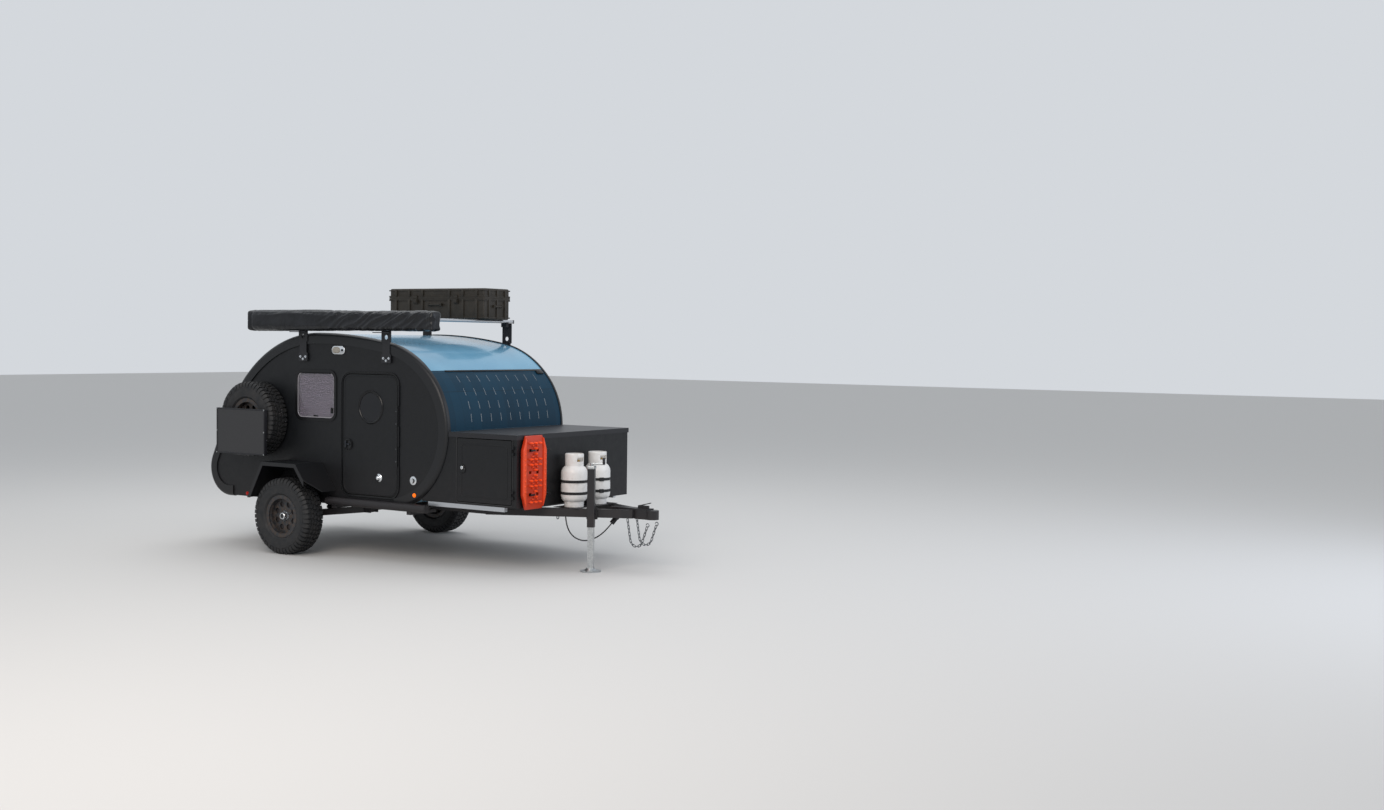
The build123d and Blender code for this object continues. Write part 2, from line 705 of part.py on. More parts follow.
pieces["fenders"] = both(fender)

# Rock sliders: a closed tube on two stubs
slider = rod((slider_rear, slider_y, slider_z), (slider_front, slider_y, slider_z), slider_radius)
for x in slider_stub_xs:
    slider = slider + block(x - slider_stub / 2, x + slider_stub / 2, rail_in, slider_y, body_bottom - 30,
                            body_bottom)
pieces["rock_sliders"] = both(slider)

# Tongue box: open at the back against the body, a hole for a door in each side, a folded cap on top
shell_top = box_top - cap_sheet
body_room = slab(body_outline(-body_clear), -far, far)
band_room = slab(body_outline(-band_proud - body_clear), -far, far)
body_room = body_room + (band_room - block(-far, far, -inner_y + body_clear, inner_y - body_clear, 0, far))
box_rear = 1500.0
box = block(box_rear, box_front, -box_half_width, box_half_width, box_bottom, shell_top)
box = box - block(box_rear - 1, box_front - box_wall, box_wall - box_half_width, box_half_width - box_wall,
                  box_bottom + box_wall, far)
hole = panel(box_door_rear - door_gap, box_door_front + door_gap, box_door_bottom - door_gap,
             box_door_top + door_gap, box_door_corner + door_gap, -far, far)
box = box - hole - body_room
pieces["box_shell"] = box
cap = block(box_rear, box_front + cap_over, -box_half_width - cap_over, box_half_width + cap_over,
            box_top - cap_skirt, box_top)
cap = cap - block(box_rear - 1, box_front + cap_over - cap_sheet, -box_half_width - cap_over + cap_sheet,
                  box_half_width + cap_over - cap_sheet, 0, shell_top)
pieces["box_cap"] = cap - body_room
box_leaf = panel(box_door_rear, box_door_front, box_door_bottom, box_door_top, box_door_corner,
                 box_half_width - box_wall, box_half_width + box_door_proud)
box_axis = (box_door_front + door_gap / 2, box_half_width + box_door_proud + hinge_stand)
tab = hinge_stand + box_door_proud
for low, high in ((box_door_bottom + 50, box_door_bottom + 130), (box_door_top - 130, box_door_top - 50)):
    kept, moved = hinge((*box_axis, low), (*box_axis, high), (hinge_tab, -tab, 0), (-hinge_tab, -tab, 0), 3)
    for knuckle in kept:
        pieces["box_shell"] = pieces["box_shell"] + knuckle + twin(knuckle)
    for knuckle in moved:
        box_leaf = box_leaf + knuckle
lock = turned(box_door_rear + 70, (box_door_bottom + box_door_top) / 2, box_half_width + box_door_proud,
              [(0, 0), (30, 0), (30, 5), (22, 12), (0, 12)])
box_leaf = box_leaf + lock
pieces["box_door_left"] = box_leaf
pieces["box_door_right"] = twin(box_leaf)

# Recovery board on the right of the box's front
half_w, half_e, half_l = board_width / 2, board_end_width / 2, board_length / 2
board_face = Plane.YZ * Pos(-board_y, board_bottom + half_l)
straight = half_l - board_taper
outline = Polygon((-half_e, -half_l), (half_e, -half_l), (half_w, -straight), (half_w, straight),
                  (half_e, half_l), (-half_e, half_l), (-half_w, straight), (-half_w, -straight), align=None)
board = extrude(board_face * outline, board_floor)
edges = outline - Rectangle(board_width - 2 * board_edge, 2 * board_length)
board = board + extrude(board_face * edges, board_floor + board_edge_rise)
for part in board_slots:
    for y in (-board_slot_y, board_slot_y):
        slot = Pos(y, (part - 0.5) * board_length) * Rectangle(*board_slot)
        board = board - extrude(board_face * slot, board_thick)
for row in range(stud_rows):
    up = (row - (stud_rows - 1) / 2) * stud_pitch[0]
    for column in range(stud_columns):
        across = (column - (stud_columns - 1) / 2) * stud_pitch[1]
        beside = [abs((part - 0.5) * board_length - up) < stud_radii[0] + board_slot[1] / 2 for part in board_slots]
        if any(beside) and column != 1:
            continue
        stud = Cone(stud_radii[0], stud_radii[1], board_thick - board_floor + 1,
                    align=(Align.CENTER, Align.CENTER, Align.MIN))
        board = board + board_face * (Pos(across, up, board_floor - 1) * stud)
board = Pos(box_front + board_stand, 0, 0) * board
for z in (board_bottom + 0.35 * board_length, board_bottom + 0.65 * board_length):
    board = board + rod((box_front, -board_y, z), (box_front + board_stand + 1, -board_y, z), 16)
pieces["recovery_board"] = board

# Gas bottles on a tray across the tongue rails
bottle_x = box_front + bottle_gap + bottle_radius
tray_rear, tray_front = box_front + 2, bottle_x + bottle_radius + 14
tray_half = bottle_y + bottle_radius + 20
tray_top = rail_top + plate
tray = block(tray_rear, tray_front, -tray_half, tray_half, rail_top, tray_top)
post = block(box_front, bottle_x + 20, -post_thick / 2, post_thick / 2, tray_top, tray_top + post_height)
pieces["bottle_tray"] = tray + post
wall_top = tray_top + bottle_height
shoulder = 70.0
profile = [(0, bottle_foot), (bottle_radius - 30, bottle_foot), (bottle_radius, bottle_foot + 26),
           (bottle_radius, bottle_height - shoulder), (bottle_radius * 0.82, bottle_height - shoulder * 0.4),
           (bottle_radius * 0.4, bottle_height), (0, bottle_height)]
foot = [(collar_radius - 2, 0), (collar_radius + 4, 0), (collar_radius + 4, bottle_foot + 12),
        (collar_radius - 2, bottle_foot + 12)]
collar = [(collar_radius - 5, bottle_height - 40), (collar_radius, bottle_height - 40),
          (collar_radius, bottle_height + collar_height), (collar_radius - 5, bottle_height + collar_height)]
valve = [(0, bottle_height - 5), (20, bottle_height - 5), (20, bottle_height + 56), (0, bottle_height + 56)]
bottle = turned(0, 0, 0, profile)
for part in (foot, collar, valve):
    bottle = bottle + turned(0, 0, 0, part)
bottle = Pos(bottle_x, bottle_y, tray_top) * (Rot(90, 0, 0) * bottle)
window = block(bottle_x - 10, bottle_x + 2 * collar_radius, bottle_y - 42, bottle_y + 42, wall_top + 18,
               wall_top + 60)
bottle = bottle - window
pieces["gas_bottles"] = both(bottle)

# Jack on the right tongue rail: outer tube with bracket and crank head, and the leg with its foot
jack_place = Pos(jack_x, -jack_y, 0) * Rot(0, 0, tongue_angle)
t = jack_tube / 2
outer = extrude(Rectangle(jack_tube, jack_tube), jack_top - jack_bottom)
outer = Pos(0, 0, jack_bottom) * (outer - Pos(0, 0, -1) * extrude(
    Rectangle(jack_tube - 2 * jack_wall, jack_tube - 2 * jack_wall), jack_top - jack_bottom + 2))
head = Pos(0, 0, jack_top) * extrude(Rectangle(jack_tube + 8, jack_tube + 8), 28)
rail_gap = (jack_y - tongue_tip_y - (tongue_tip_x - jack_x) * slope) * cos(radians(tongue_angle))
rail_gap = rail_gap - rail_width / 2
bracket = block(-50, 50, t, rail_gap, body_bottom - 14, rail_top + 14)
crank = rod((0, 0, jack_top + 27), (0, 0, jack_top + 50), 9)
crank = crank + rod((-5, 0, jack_top + 46), (118, 0, jack_top + 46), 7)
crank = crank + rod((112, 0, jack_top + 42), (112, 0, jack_top + 100), 12)
pieces["jack_body"] = jack_place * (outer + head + bracket + crank)
leg_size = jack_tube - 2 * jack_wall - 2 * jack_play
leg = extrude(Rectangle(leg_size, leg_size), jack_leg_top - jack_foot_thick + 1)
leg = Pos(0, 0, jack_foot_thick - 1) * leg
foot_plate = extrude(Circle(jack_foot_radius), jack_foot_thick)
collar_block = Cone(58, 40, 22, align=(Align.CENTER, Align.CENTER, Align.MIN))
collar_block = Pos(0, 0, jack_foot_thick - 1) * collar_block
pieces["jack_leg"] = jack_place * (leg + foot_plate + collar_block)

# Spare wheel on the right side, its carrier, and the folded table
spare_y = body_half_width + spare_gap + tyre_width / 2
spare_place = Pos(spare_x, -spare_y, spare_z) * Rot(180, 0, 0)
pieces["spare_tyre"] = spare_place * tyre_solid
spare_rim = rim_solid - disc(0, 0, spindle_radius + 2, -far, far)
spare_rim = spare_rim - disc(0, 0, hub_radius + 1, -far, disc_offset - disc_thick)
pieces["spare_rim"] = spare_place * spare_rim
spare_face = spare_y + tyre_width / 2
bar_y = spare_face + 1.5
carrier = panel(spare_x - 110, spare_x + 110, spare_z - 110, spare_z + 110, 20, -body_half_width - 8,
                -body_half_width)
seat_y = -spare_y - disc_offset + disc_thick
carrier = carrier + rod((spare_x, -body_half_width - 7, spare_z), (spare_x, seat_y, spare_z), 55)
root_at = (spare_x, -body_half_width - 7, spare_z)
carrier = carrier + rod(root_at, (spare_x, -bar_y - 2, spare_z), spindle_radius)
hinge_z = table_bottom - table_hinge_drop
bar_rear, bar_front = spare_x - table_bar_width / 2, spare_x + table_bar_width / 2
bar_plate = block(bar_rear, bar_front, -bar_y - 6, -bar_y, hinge_z - 6, spare_z + 60)
carrier = carrier + bar_plate
table_axis_y = -(bar_y + 6 + hinge_radius + 1)
kept, moved = hinge((bar_rear, table_axis_y, hinge_z), (bar_front, table_axis_y, hinge_z),
                    (0, hinge_radius + 2, 5), (0, -hinge_radius - 2, table_hinge_drop + 8), 5)
for knuckle in kept:
    carrier = carrier + knuckle
pieces["spare_carrier"] = carrier
table_in = -(bar_y + 6 + 3)
table = block(table_x - table_width / 2, table_x + table_width / 2, table_in - table_thick, table_in,
              table_bottom, table_bottom + table_height)
for knuckle in moved:
    table = table + (knuckle & block(-far, far, table_in - 16, far, 0, far))
pieces["camp_table"] = table

# Roof gear: brackets on the sides, bars across, awning in its bag on the right, hard case on the left
face_y = body_half_width + band_face
bar_under = bar_z - bar_height / 2
brackets = []
for x in bar_xs:
    half = bracket_width / 2
    flat = panel(x - half, x + half, bracket_bottom, bar_under, 12, face_y, face_y + bracket_plate)
    flat = flat - disc(x, bracket_hole_z, bracket_hole_radius, 0, far)
    for across, above in bracket_bolts:
        flat = flat - disc(x + across, bracket_bottom + above, bolt_radius, 0, far)
    for side in (-1, 1):
        waist_x = x + side * (half - bracket_waist + 40)
        flat = flat - panel(waist_x - 40, waist_x + 40, bracket_bottom + 80, bracket_hole_z - 45, 12, 0, far)
    clamp = block(x - 35, x + 35, face_y - 50, face_y + 1, bar_under - 40, bar_under)
    spacer = block(x - half + 8, x + half - 8, body_half_width, face_y, bracket_bottom + 4,
                   bracket_bottom + 62)
    for across, above in bracket_bolts:
        spacer = spacer - disc(x + across, bracket_bottom + above, bolt_radius, 0, far)
    brackets += both(flat + clamp + spacer)
    shelf = block(x - half + 10, x + half - 10, -face_y - bracket_plate - 130, -face_y - bracket_plate,
                  bag_bottom - 8, bag_bottom - 0.3)
    brackets[-1] = brackets[-1] + shelf
pieces["roof_brackets"] = brackets
bars = []
for x in bar_xs:
    section = Plane.XZ * Pos(x, bar_z) * SlotOverall(bar_width, bar_height)
    bars.append(slab(section, -bar_right, bar_left))
pieces["cross_bars"] = bars
bag = block(bag_rear, bag_front, -bag_inner_y - bag_depth, -bag_inner_y, bag_bottom, bag_bottom + bag_height)
pieces["awning_bag"] = fillet(bag.edges(), 28)

bar_top = bar_z + bar_height / 2
case = block(case_rear, case_front, case_left - case_width, case_left, bar_top, bar_top + case_height)
case = fillet(case.edges(), 18)
seam = bar_top + case_height - case_lid_height
case_right = case_left - case_width
hollow = block(case_rear + case_wall, case_front - case_wall, case_right + case_wall, case_left - case_wall,
               bar_top + case_wall, bar_top + case_height - case_wall)
case = case - hollow
lower = case & block(-far, far, 0, far, 0, seam - case_seam / 2)
upper = case & block(-far, far, 0, far, seam + case_seam / 2, far)
case_axis = (case_left + hinge_radius + 2, seam)
for x in (case_rear + case_hinge_in, (case_rear + case_front) / 2, case_front - case_hinge_in):
    kept, moved = hinge((x - 60, *case_axis), (x + 60, *case_axis), (0, -hinge_radius - 8, -22),
                        (0, -hinge_radius - 8, 22), 3)
    for knuckle in kept:
        lower = lower + (knuckle - block(-far, far, 0, case_left, 0, far))
    for knuckle in moved:
        upper = upper + (knuckle - block(-far, far, 0, case_left, 0, far))
halves = []
for half_case, z0, z1 in ((lower, bar_top + 20, seam - case_seam / 2),
                          (upper, seam + case_seam / 2, bar_top + case_height - 20)):
    for part in case_rib_parts:
        x = case_rear + part * (case_front - case_rear)
        half_case = half_case + block(x - case_rib_width / 2, x + case_rib_width / 2, case_right - case_rib,
                                      case_right + 1, z0, z1)
    for part in case_end_rib_parts:
        y = case_right + part * case_width
        for x0, x1 in ((case_rear - case_rib, case_rear + 1), (case_front - 1, case_front + case_rib)):
            half_case = half_case + block(x0, x1, y - case_rib_width / 2, y + case_rib_width / 2, z0, z1)
    halves.append(half_case)
pieces["roof_case"], pieces["case_lid"] = halves

# Tow cable: straight runs joined by the largest arcs that fit, with a plug in a holder under the coupler
points = [Vector(*p) for p in cable_route]
radii = []
for a, b, c in zip(points, points[1:], points[2:]):
    turn = radians((b - a).get_angle(c - b))
    radii.append(0.45 * min((b - a).length, (c - b).length) / tan(turn / 2))
path = FilletPolyline(*cable_route, radius=radii)
cable = sweep(Plane(cable_route[0], z_dir=tuple(points[1] - points[0])) * Circle(cable_radius), path)
print("cable: length", round(path.length), "radii", [round(r) for r in radii],
      "volume ratio", round(cable.volume / (path.length * Circle(cable_radius).area), 4))
pieces["tow_cable"] = cable
plug_way = (points[-1] - points[-2]).normalized()
plug_end = points[-1] + plug_way * plug_length
pieces["tow_plug"] = rod(tuple(points[-1]), tuple(plug_end), plug_radius)
holder = rod(tuple(plug_end), tuple(plug_end + plug_way * 30), plug_radius + holder_wall)
top = plug_end + plug_way * 20
holder = holder + block(top.X - 14, top.X + 14, top.Y - 20, top.Y + 14, top.Z, rail_top)
pieces["plug_holder"] = holder

rear_reach = -min(arcs_of(rear_arcs, -band_proud, -1)[-1][0] - arcs_of(rear_arcs, -band_proud, -1)[-1][2], 0)
front_reach = ball_x + coupler_nose
axle_x = (rear_reach - front_reach) / 2
print("axle_x", round(axle_x, 3), "rear", round(rear_reach, 3), "front", front_reach)
print("hatch axis", round(hatch_axis_z, 2))

os.makedirs("parts", exist_ok=True)
for name, made in pieces.items():
    solids = []
    for shape in made if isinstance(made, list) else [made]:
        solids += (Pos(axle_x, 0, 0) * shape).solids()
    export_step(Compound(children=solids) if len(solids) > 1 else solids[0], f"parts/{name}.step")
print(len(pieces), "nodes")
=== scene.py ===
"""Off-road teardrop camping trailer: finishes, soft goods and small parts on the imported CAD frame. Metres."""
import math

import bmesh
import bpy
from mathutils import Matrix, Vector, noise as mathnoise


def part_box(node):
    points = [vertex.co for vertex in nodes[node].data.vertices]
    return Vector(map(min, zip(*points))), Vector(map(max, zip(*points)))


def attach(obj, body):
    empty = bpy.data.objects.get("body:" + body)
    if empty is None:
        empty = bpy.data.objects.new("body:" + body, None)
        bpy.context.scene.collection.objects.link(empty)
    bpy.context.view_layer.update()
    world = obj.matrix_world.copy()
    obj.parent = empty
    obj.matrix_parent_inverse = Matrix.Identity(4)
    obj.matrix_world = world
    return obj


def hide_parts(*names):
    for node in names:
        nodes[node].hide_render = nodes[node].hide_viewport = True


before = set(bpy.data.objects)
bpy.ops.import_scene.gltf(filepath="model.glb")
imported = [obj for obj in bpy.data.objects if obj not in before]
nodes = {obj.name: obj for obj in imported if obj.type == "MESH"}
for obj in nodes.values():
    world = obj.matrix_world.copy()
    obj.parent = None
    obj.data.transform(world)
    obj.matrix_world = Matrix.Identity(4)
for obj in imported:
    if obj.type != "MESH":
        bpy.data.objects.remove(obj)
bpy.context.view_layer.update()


def middle(node):
    """Centre of a CAD node's box."""
    low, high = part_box(node)
    return (low + high) / 2


# Places that the frame gives
AXLE = middle("rim_right").x                 # the part's source measures X from here
WHEEL_R, WHEEL_L, SPARE = middle("tyre_right"), middle("tyre_left"), middle("spare_tyre")
TYRE_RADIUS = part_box("tyre_right")[1].z / 2
SIDE = -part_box("cabin_side_right")[0].y      # outer face of the side panels
BAND = -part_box("edge_bands")[0].y            # outer face of the moulded rims
AHEAD, LEFT, UP = Vector((1, 0, 0)), Vector((0, 1, 0)), Vector((0, 0, 1))
SUNK = 0.001                                 # small parts reach this far into what they stand on


def here(x, y, z):
    """A place given as in the part's source: X from the axle."""
    return Vector((AXLE + x, y, z))


def surface_at(node, place, way):
    """Where a ray from a place along a way meets a CAD node, and the direction of its surface there."""
    piece = nodes[node]
    back = piece.matrix_world.inverted()
    hit, at, normal, index = piece.ray_cast(back @ Vector(place), back.to_3x3() @ Vector(way))
    return piece.matrix_world @ at, (piece.matrix_world.to_3x3() @ normal).normalized()


# Finishes

def linear(colour):
    """An sRGB hex colour as linear red, green, blue and alpha."""
    parts = [int(colour[i:i + 2], 16) / 255 for i in (0, 2, 4)]
    return [c / 12.92 if c <= 0.04045 else ((c + 0.055) / 1.055) ** 2.4 for c in parts] + [1.0]


def add(tree, kind, inputs=None, **settings):
    """A shader node with its settings; an input is a value, or a socket to link."""
    made = tree.nodes.new(kind)
    for name, value in settings.items():
        setattr(made, name, value)
    for name, value in (inputs or {}).items():
        if isinstance(value, bpy.types.NodeSocket):
            tree.links.new(value, made.inputs[name])
        else:
            made.inputs[name].default_value = value
    return made


def patches(tree, place, size, detail, low=0.0, high=1.0, start_at=0.0, end_at=1.0):
    """Noise with features about size metres across, its part from low to high spread over a range."""
    made = add(tree, "ShaderNodeTexNoise", {"Vector": place, "Scale": 1.0 / size, "Detail": detail,
                                           "Roughness": 0.55})
    return add(tree, "ShaderNodeMapRange", {0: made.outputs["Fac"], 1: low, 2: high, 3: start_at,
                                           4: end_at}).outputs[0]


def coloured(tree, shader, amount, first, second):
    """Gives the shader a mix of two linear colours, the second of which may be a socket."""
    made = add(tree, "ShaderNodeMix", {0: amount, 6: first, 7: second}, data_type="RGBA")
    tree.links.new(made.outputs[2], shader.inputs["Base Color"])


def relief(tree, shader, height, depth, strength, **under):
    """Gives the shader a bump of depth metres, over another where there is one."""
    made = add(tree, "ShaderNodeBump", {"Height": height, "Distance": depth, "Strength": strength, **under})
    tree.links.new(made.outputs["Normal"], shader.inputs["Normal"])


def patterned(name, colour, roughness, metallic=0.0, stretch=None, dust=None, tone=None, worn=None, scored=None,
              sheen=None, grain=None, weave=None, **sockets):
    """A new material with the patterns that it needs: itself, its tree, its shader and its Object coordinates.

    stretch: how many times finer the patterns are along X, Y and Z
    dust: its colour, the heights at which it starts and is thickest, and its most; noise breaks it up
    tone: size, detail, where its noise starts and ends, its most, and the two colours that it mixes
    worn: how much tone counts as all of it, and the roughness without tone and with all of it
    scored: depth and strength of a bump that follows the tone
    sheen: size, detail, where its noise starts and ends, and the roughness at each
    grain: size, detail, depth and strength of a bump
    weave: kind of texture node, scale, depth and strength of a bump, and the node's settings"""
    made = bpy.data.materials.new(name)
    made.use_nodes = True
    tree = made.node_tree
    shader = tree.nodes["Principled BSDF"]
    sockets.update(Base_Color=linear(colour), Roughness=roughness, Metallic=metallic)
    for socket, value in sockets.items():
        shader.inputs[socket.replace("_", " ")].default_value = value
    place = add(tree, "ShaderNodeTexCoord").outputs["Object"]
    if stretch:
        place = add(tree, "ShaderNodeMapping", {"Vector": place, "Scale": stretch}).outputs[0]
    if dust:
        shade, top, bottom, most = dust
        height = add(tree, "ShaderNodeSeparateXYZ", {"Vector": place}).outputs["Z"]
        rise = add(tree, "ShaderNodeMapRange", {0: height, 1: top, 2: bottom, 4: most}).outputs[0]
        broken = patches(tree, place, 0.11, 6.0, 0.3, 0.7, 0.35, 1.0)
        amount = add(tree, "ShaderNodeMath", {0: rise, 1: broken}, operation="MULTIPLY").outputs[0]
        coloured(tree, shader, amount, linear(colour), linear(shade))
    if tone:
        size, detail, low, high, most, first, second = tone
        amount = patches(tree, place, size, detail, low, high, 0.0, most)
        coloured(tree, shader, amount, linear(first), linear(second))
        if worn:
            reach, smooth, rough = worn
            wear = add(tree, "ShaderNodeMapRange", {0: amount, 2: reach, 3: smooth, 4: rough})
            tree.links.new(wear.outputs[0], shader.inputs["Roughness"])
        if scored:
            relief(tree, shader, amount, *scored)
    if sheen:
        tree.links.new(patches(tree, place, *sheen), shader.inputs["Roughness"])
    if grain:
        size, detail, depth, strength = grain
        relief(tree, shader, patches(tree, place, size, detail), depth, strength)
    if weave:
        kind, scale, depth, strength, settings = weave
        threads = add(tree, kind, {"Vector": place, "Scale": scale}, **settings)
        relief(tree, shader, threads.outputs["Fac"], depth, strength)
    return made, tree, shader, place


def finish(*values, **patterns):
    """A material that needs no more than these patterns."""
    return patterned(*values, **patterns)[0]


def sprayed_liner():
    """Sprayed polyurethane liner: black, pebbled all over, with a dull sheen and dust near the road."""
    made, tree, shader, place = patterned("sprayed_liner", "111316", 0.45, dust=("342c2a", 1.0, 0.45, 0.22),
                                         sheen=(0.05, 3.0, 0.3, 0.7, 0.38, 0.52), Specular_IOR_Level=0.32)
    pebble = add(tree, "ShaderNodeTexVoronoi", {"Vector": place, "Scale": 1 / 0.005, "Smoothness": 0.6},
                 feature="SMOOTH_F1")            # 2 mm in life, drawn as 5 mm to show
    relief(tree, shader, pebble.outputs["Distance"], 0.0011, 0.7)
    return made


def solar_film():
    """Flexible solar sheet: dark blue cells under a clear film, with the faint grid of the cells."""
    made, tree, shader, place = patterned("solar_film", "073246", 0.45, Specular_IOR_Level=0.14,
                                         Coat_Weight=0.06, Coat_Roughness=0.3)
    cells = add(tree, "ShaderNodeTexBrick", {"Vector": place, "Scale": 1.0, "Mortar Size": 0.0012,
                                            "Brick Width": 0.125, "Row Height": 0.125,
                                            "Color1": linear("062c3f"), "Color2": linear("083449"),
                                            "Mortar": linear("05222f")}, offset=0.0)
    tree.links.new(cells.outputs["Color"], shader.inputs["Base Color"])
    return made


def coated_fabric():
    """PVC-coated polyester of the awning bag: charcoal, a plain weave under a leathery coat, creased."""
    made, tree, shader, place = patterned("coated_fabric", "111317", 0.3, Specular_IOR_Level=0.33,
                                         tone=(0.09, 5.0, 0.3, 0.75, 1.0, "0f1114", "1a1c21"))
    creases = add(tree, "ShaderNodeTexNoise", {"Vector": place, "Scale": 1 / 0.035, "Detail": 6.0,
                                              "Roughness": 0.65})
    first = add(tree, "ShaderNodeBump", {"Height": creases.outputs["Fac"], "Distance": 0.003, "Strength": 0.5})
    weave = add(tree, "ShaderNodeTexWave", {"Vector": place, "Scale": 1 / 0.012, "Distortion": 0.5},
                bands_direction="DIAGONAL")
    relief(tree, shader, weave.outputs["Fac"], 0.0003, 0.4, Normal=first.outputs[0])
    return made


def board_nylon_painted_shade(floor, tips):
    """Moulded nylon recovery board: orange-red, with painted shade darkening it between its studs and a painted
    highlight on the stud tips, which are also scuffed at random.
    """
    made, tree, shader, place = patterned("board_nylon_painted_shade", "e8450f", 0.42)
    # painted shade and highlight: the colour darkens from the stud tips down to the floor between them
    out = add(tree, "ShaderNodeSeparateXYZ", {"Vector": place}).outputs["X"]
    rise = add(tree, "ShaderNodeMapRange", {0: out, 1: floor - 0.002, 2: tips}).outputs[0]
    scuff = patches(tree, place, 0.02, 6.0, 0.5, 0.8, 0.0, 0.3)
    bright = add(tree, "ShaderNodeMix", {0: scuff, 6: linear("ff500f"), 7: linear("e4602c")}, data_type="RGBA")
    coloured(tree, shader, rise, linear("b52c05"), bright.outputs[2])
    return made


LINER = sprayed_liner()
# Painted aluminium roof skin: light blue gloss, the blue partly a painted reflection of the sky; smooth, with the
# faint waves of thin sheet
SKIN_AND_SKY = finish("gloss_skin", "6699b5", 0.2, tone=(0.5, 2.0, 0.3, 0.7, 1.0, "5f93b1", "6fa1bc"),
              grain=(0.35, 1.0, 0.002, 0.35), Coat_Weight=0.4, Coat_Roughness=0.08)
# Moulded polyethylene edge trim: black with a fine grain, its sheen a little brighter than the liner's
RIM_TRIM = finish("moulded_rim", "15171a", 0.38, dust=("382f2c", 0.9, 0.45, 0.22),
                  grain=(0.003, 2.0, 0.0005, 0.5), Specular_IOR_Level=0.38)
# Powder-coated steel: satin, with the orange peel that the powder leaves as it melts
FRAME_COAT = finish("frame_powder_coat", "1f2024", 0.42, dust=("453a35", 0.9, 0.3, 0.35),
                    grain=(0.004, 2.0, 0.0004, 0.5), Specular_IOR_Level=0.35)
# Extruded aluminium rail: drawn lines along its length and a dull skin of oxide
ALUMINIUM = finish("mill_aluminium", "c3c6ca", 0.36, 1.0, stretch=(1.0, 60.0, 60.0),
                   sheen=(0.05, 2.0, 0.2, 0.8, 0.28, 0.48), grain=(0.05, 2.0, 0.0003, 0.4))
# Zinc-plated steel, new and weathered: grey, spangled, with a little white bloom
ZINC, DULL_ZINC = [
    finish(name, clean, 0.38, 1.0, tone=(0.012, 4.0, 0.35, 0.75, 1.0, clean, bloomed), worn=(1.0, 0.3, 0.55))
    for name, clean, bloomed in (("zinc_plate", "a8abad", "c9cccc"), ("dull_zinc", "63666a", "8a8d8f"))]
# Chrome plate on the lamps and hold-backs: a clean mirror with fingerprints of roughness
CHROME = finish("bright_chrome", "dcdfe2", 0.1, 1.0, sheen=(0.02, 3.0, 0.3, 0.7, 0.05, 0.18))
# Black chrome on the door handles: dark and glossy
DARK_CHROME = finish("black_chrome", "3a3d42", 0.16, 0.9, sheen=(0.02, 3.0, 0.3, 0.7, 0.1, 0.24))
# Tyre rubber: near black, scuffed, with a little road dust in patches
RUBBER = finish("dusty_rubber", "1d1e21", 0.62, tone=(0.06, 6.0, 0.35, 0.75, 0.45, "1b1d20", "3c3937"),
                grain=(0.008, 3.0, 0.0007, 0.5), Specular_IOR_Level=0.4)
# Dark grey wheel enamel: satin, with brown dust caked in the barrel
WHEEL_PAINT = finish("wheel_enamel", "303236", 0.38, 0.25, worn=(0.5, 0.34, 0.7),
                     tone=(0.03, 5.0, 0.42, 0.72, 0.55, "2d2f33", "63503f"))
# Moulded ABS: even, faintly grained, black down to its highlights
TRIM_PLASTIC = finish("trim_plastic", "111214", 0.24, grain=(0.0015, 2.0, 0.0002, 0.4), Specular_IOR_Level=0.3)
# Tinted acrylic glazing, pale and dark: glossy, slightly hazed, and what stands behind it shows
ACRYLIC, DARK_ACRYLIC = [
    finish(name, colour, 0.06, sheen=(0.05, 4.0, 0.3, 0.7, 0.03, 0.1), Transmission_Weight=clear, IOR=1.49)
    for name, colour, clear in (("grey_acrylic", "d4d0d8", 0.92), ("dark_acrylic", "1b1d22", 0.3))]
# Bevelled edge of the acrylic panes: pale as ground plastic is, and paler still as a painted highlight along the
# window's edge
FROSTED_EDGE_HIGHLIGHT = finish("frosted_edge", "a3a0a6", 0.3, grain=(0.002, 2.0, 0.0002, 0.4))
# Pleated polyester of the window shade: mauve-grey, finely woven
SHADE_CLOTH = finish("shade_cloth", "a39da8", 0.85, Sheen_Weight=0.3,
                     weave=("ShaderNodeTexChecker", 1 / 0.002, 0.0002, 0.5, {}))
# Moulded polycarbonate lenses, clear, amber and red: finely ribbed, their lamps lit faintly behind them
CLEAR_LENS, AMBER_LENS, RED_LENS = [
    finish(name, colour, 0.15, weave=("ShaderNodeTexWave", 60.0, 0.0004, 0.4, {}), Transmission_Weight=0.25,
           Emission_Strength=strength, Emission_Color=linear(glow))
    for name, colour, glow, strength in (("clear_lens", "9b978f", "fff1d8", 0.02),
                                         ("amber_lens", "f06a0c", "ff7a12", 0.7),
                                         ("red_lens", "9c0d08", "ff2a10", 0.12))]
SOLAR = solar_film()
BAG_CLOTH = coated_fabric()
BOARD = board_nylon_painted_shade(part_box("recovery_board")[0].x + 0.034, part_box("recovery_board")[1].x - 0.012)
# White enamel on the gas bottles: smooth gloss with grime in the low places
ENAMEL = finish("bottle_enamel", "dcdcda", 0.3, tone=(0.05, 6.0, 0.5, 0.8, 0.4, "dddcda", "a59c94"))
# Structural resin of the roof case: brown-olive, coarse grained and matte
RESIN = finish("case_resin", "26221c", 0.5, tone=(0.07, 5.0, 0.3, 0.75, 1.0, "26221c", "322d26"),
               grain=(0.003, 2.0, 0.0006, 0.6), Specular_IOR_Level=0.35)
# Birch plywood of the bulkhead and linings: pale, with long grain and a clear satin varnish
PLY = finish("birch_ply", "c9a97c", 0.4, stretch=(12.0, 1.0, 12.0),
             tone=(0.25, 6.0, 0.3, 0.7, 1.0, "b8935f", "d6bb8f"))
# Neoprene cable jacket: black and soft, slightly dusty
JACKET = finish("cable_rubber", "242426", 0.6, grain=(0.002, 2.0, 0.0002, 0.4))
# Brass of the gas valves: dull yellow, browned in its low places
BRASS = finish("cast_brass", "b08d4f", 0.35, 1.0, tone=(0.01, 4.0, 0.4, 0.75, 1.0, "b3914f", "7c6238"))
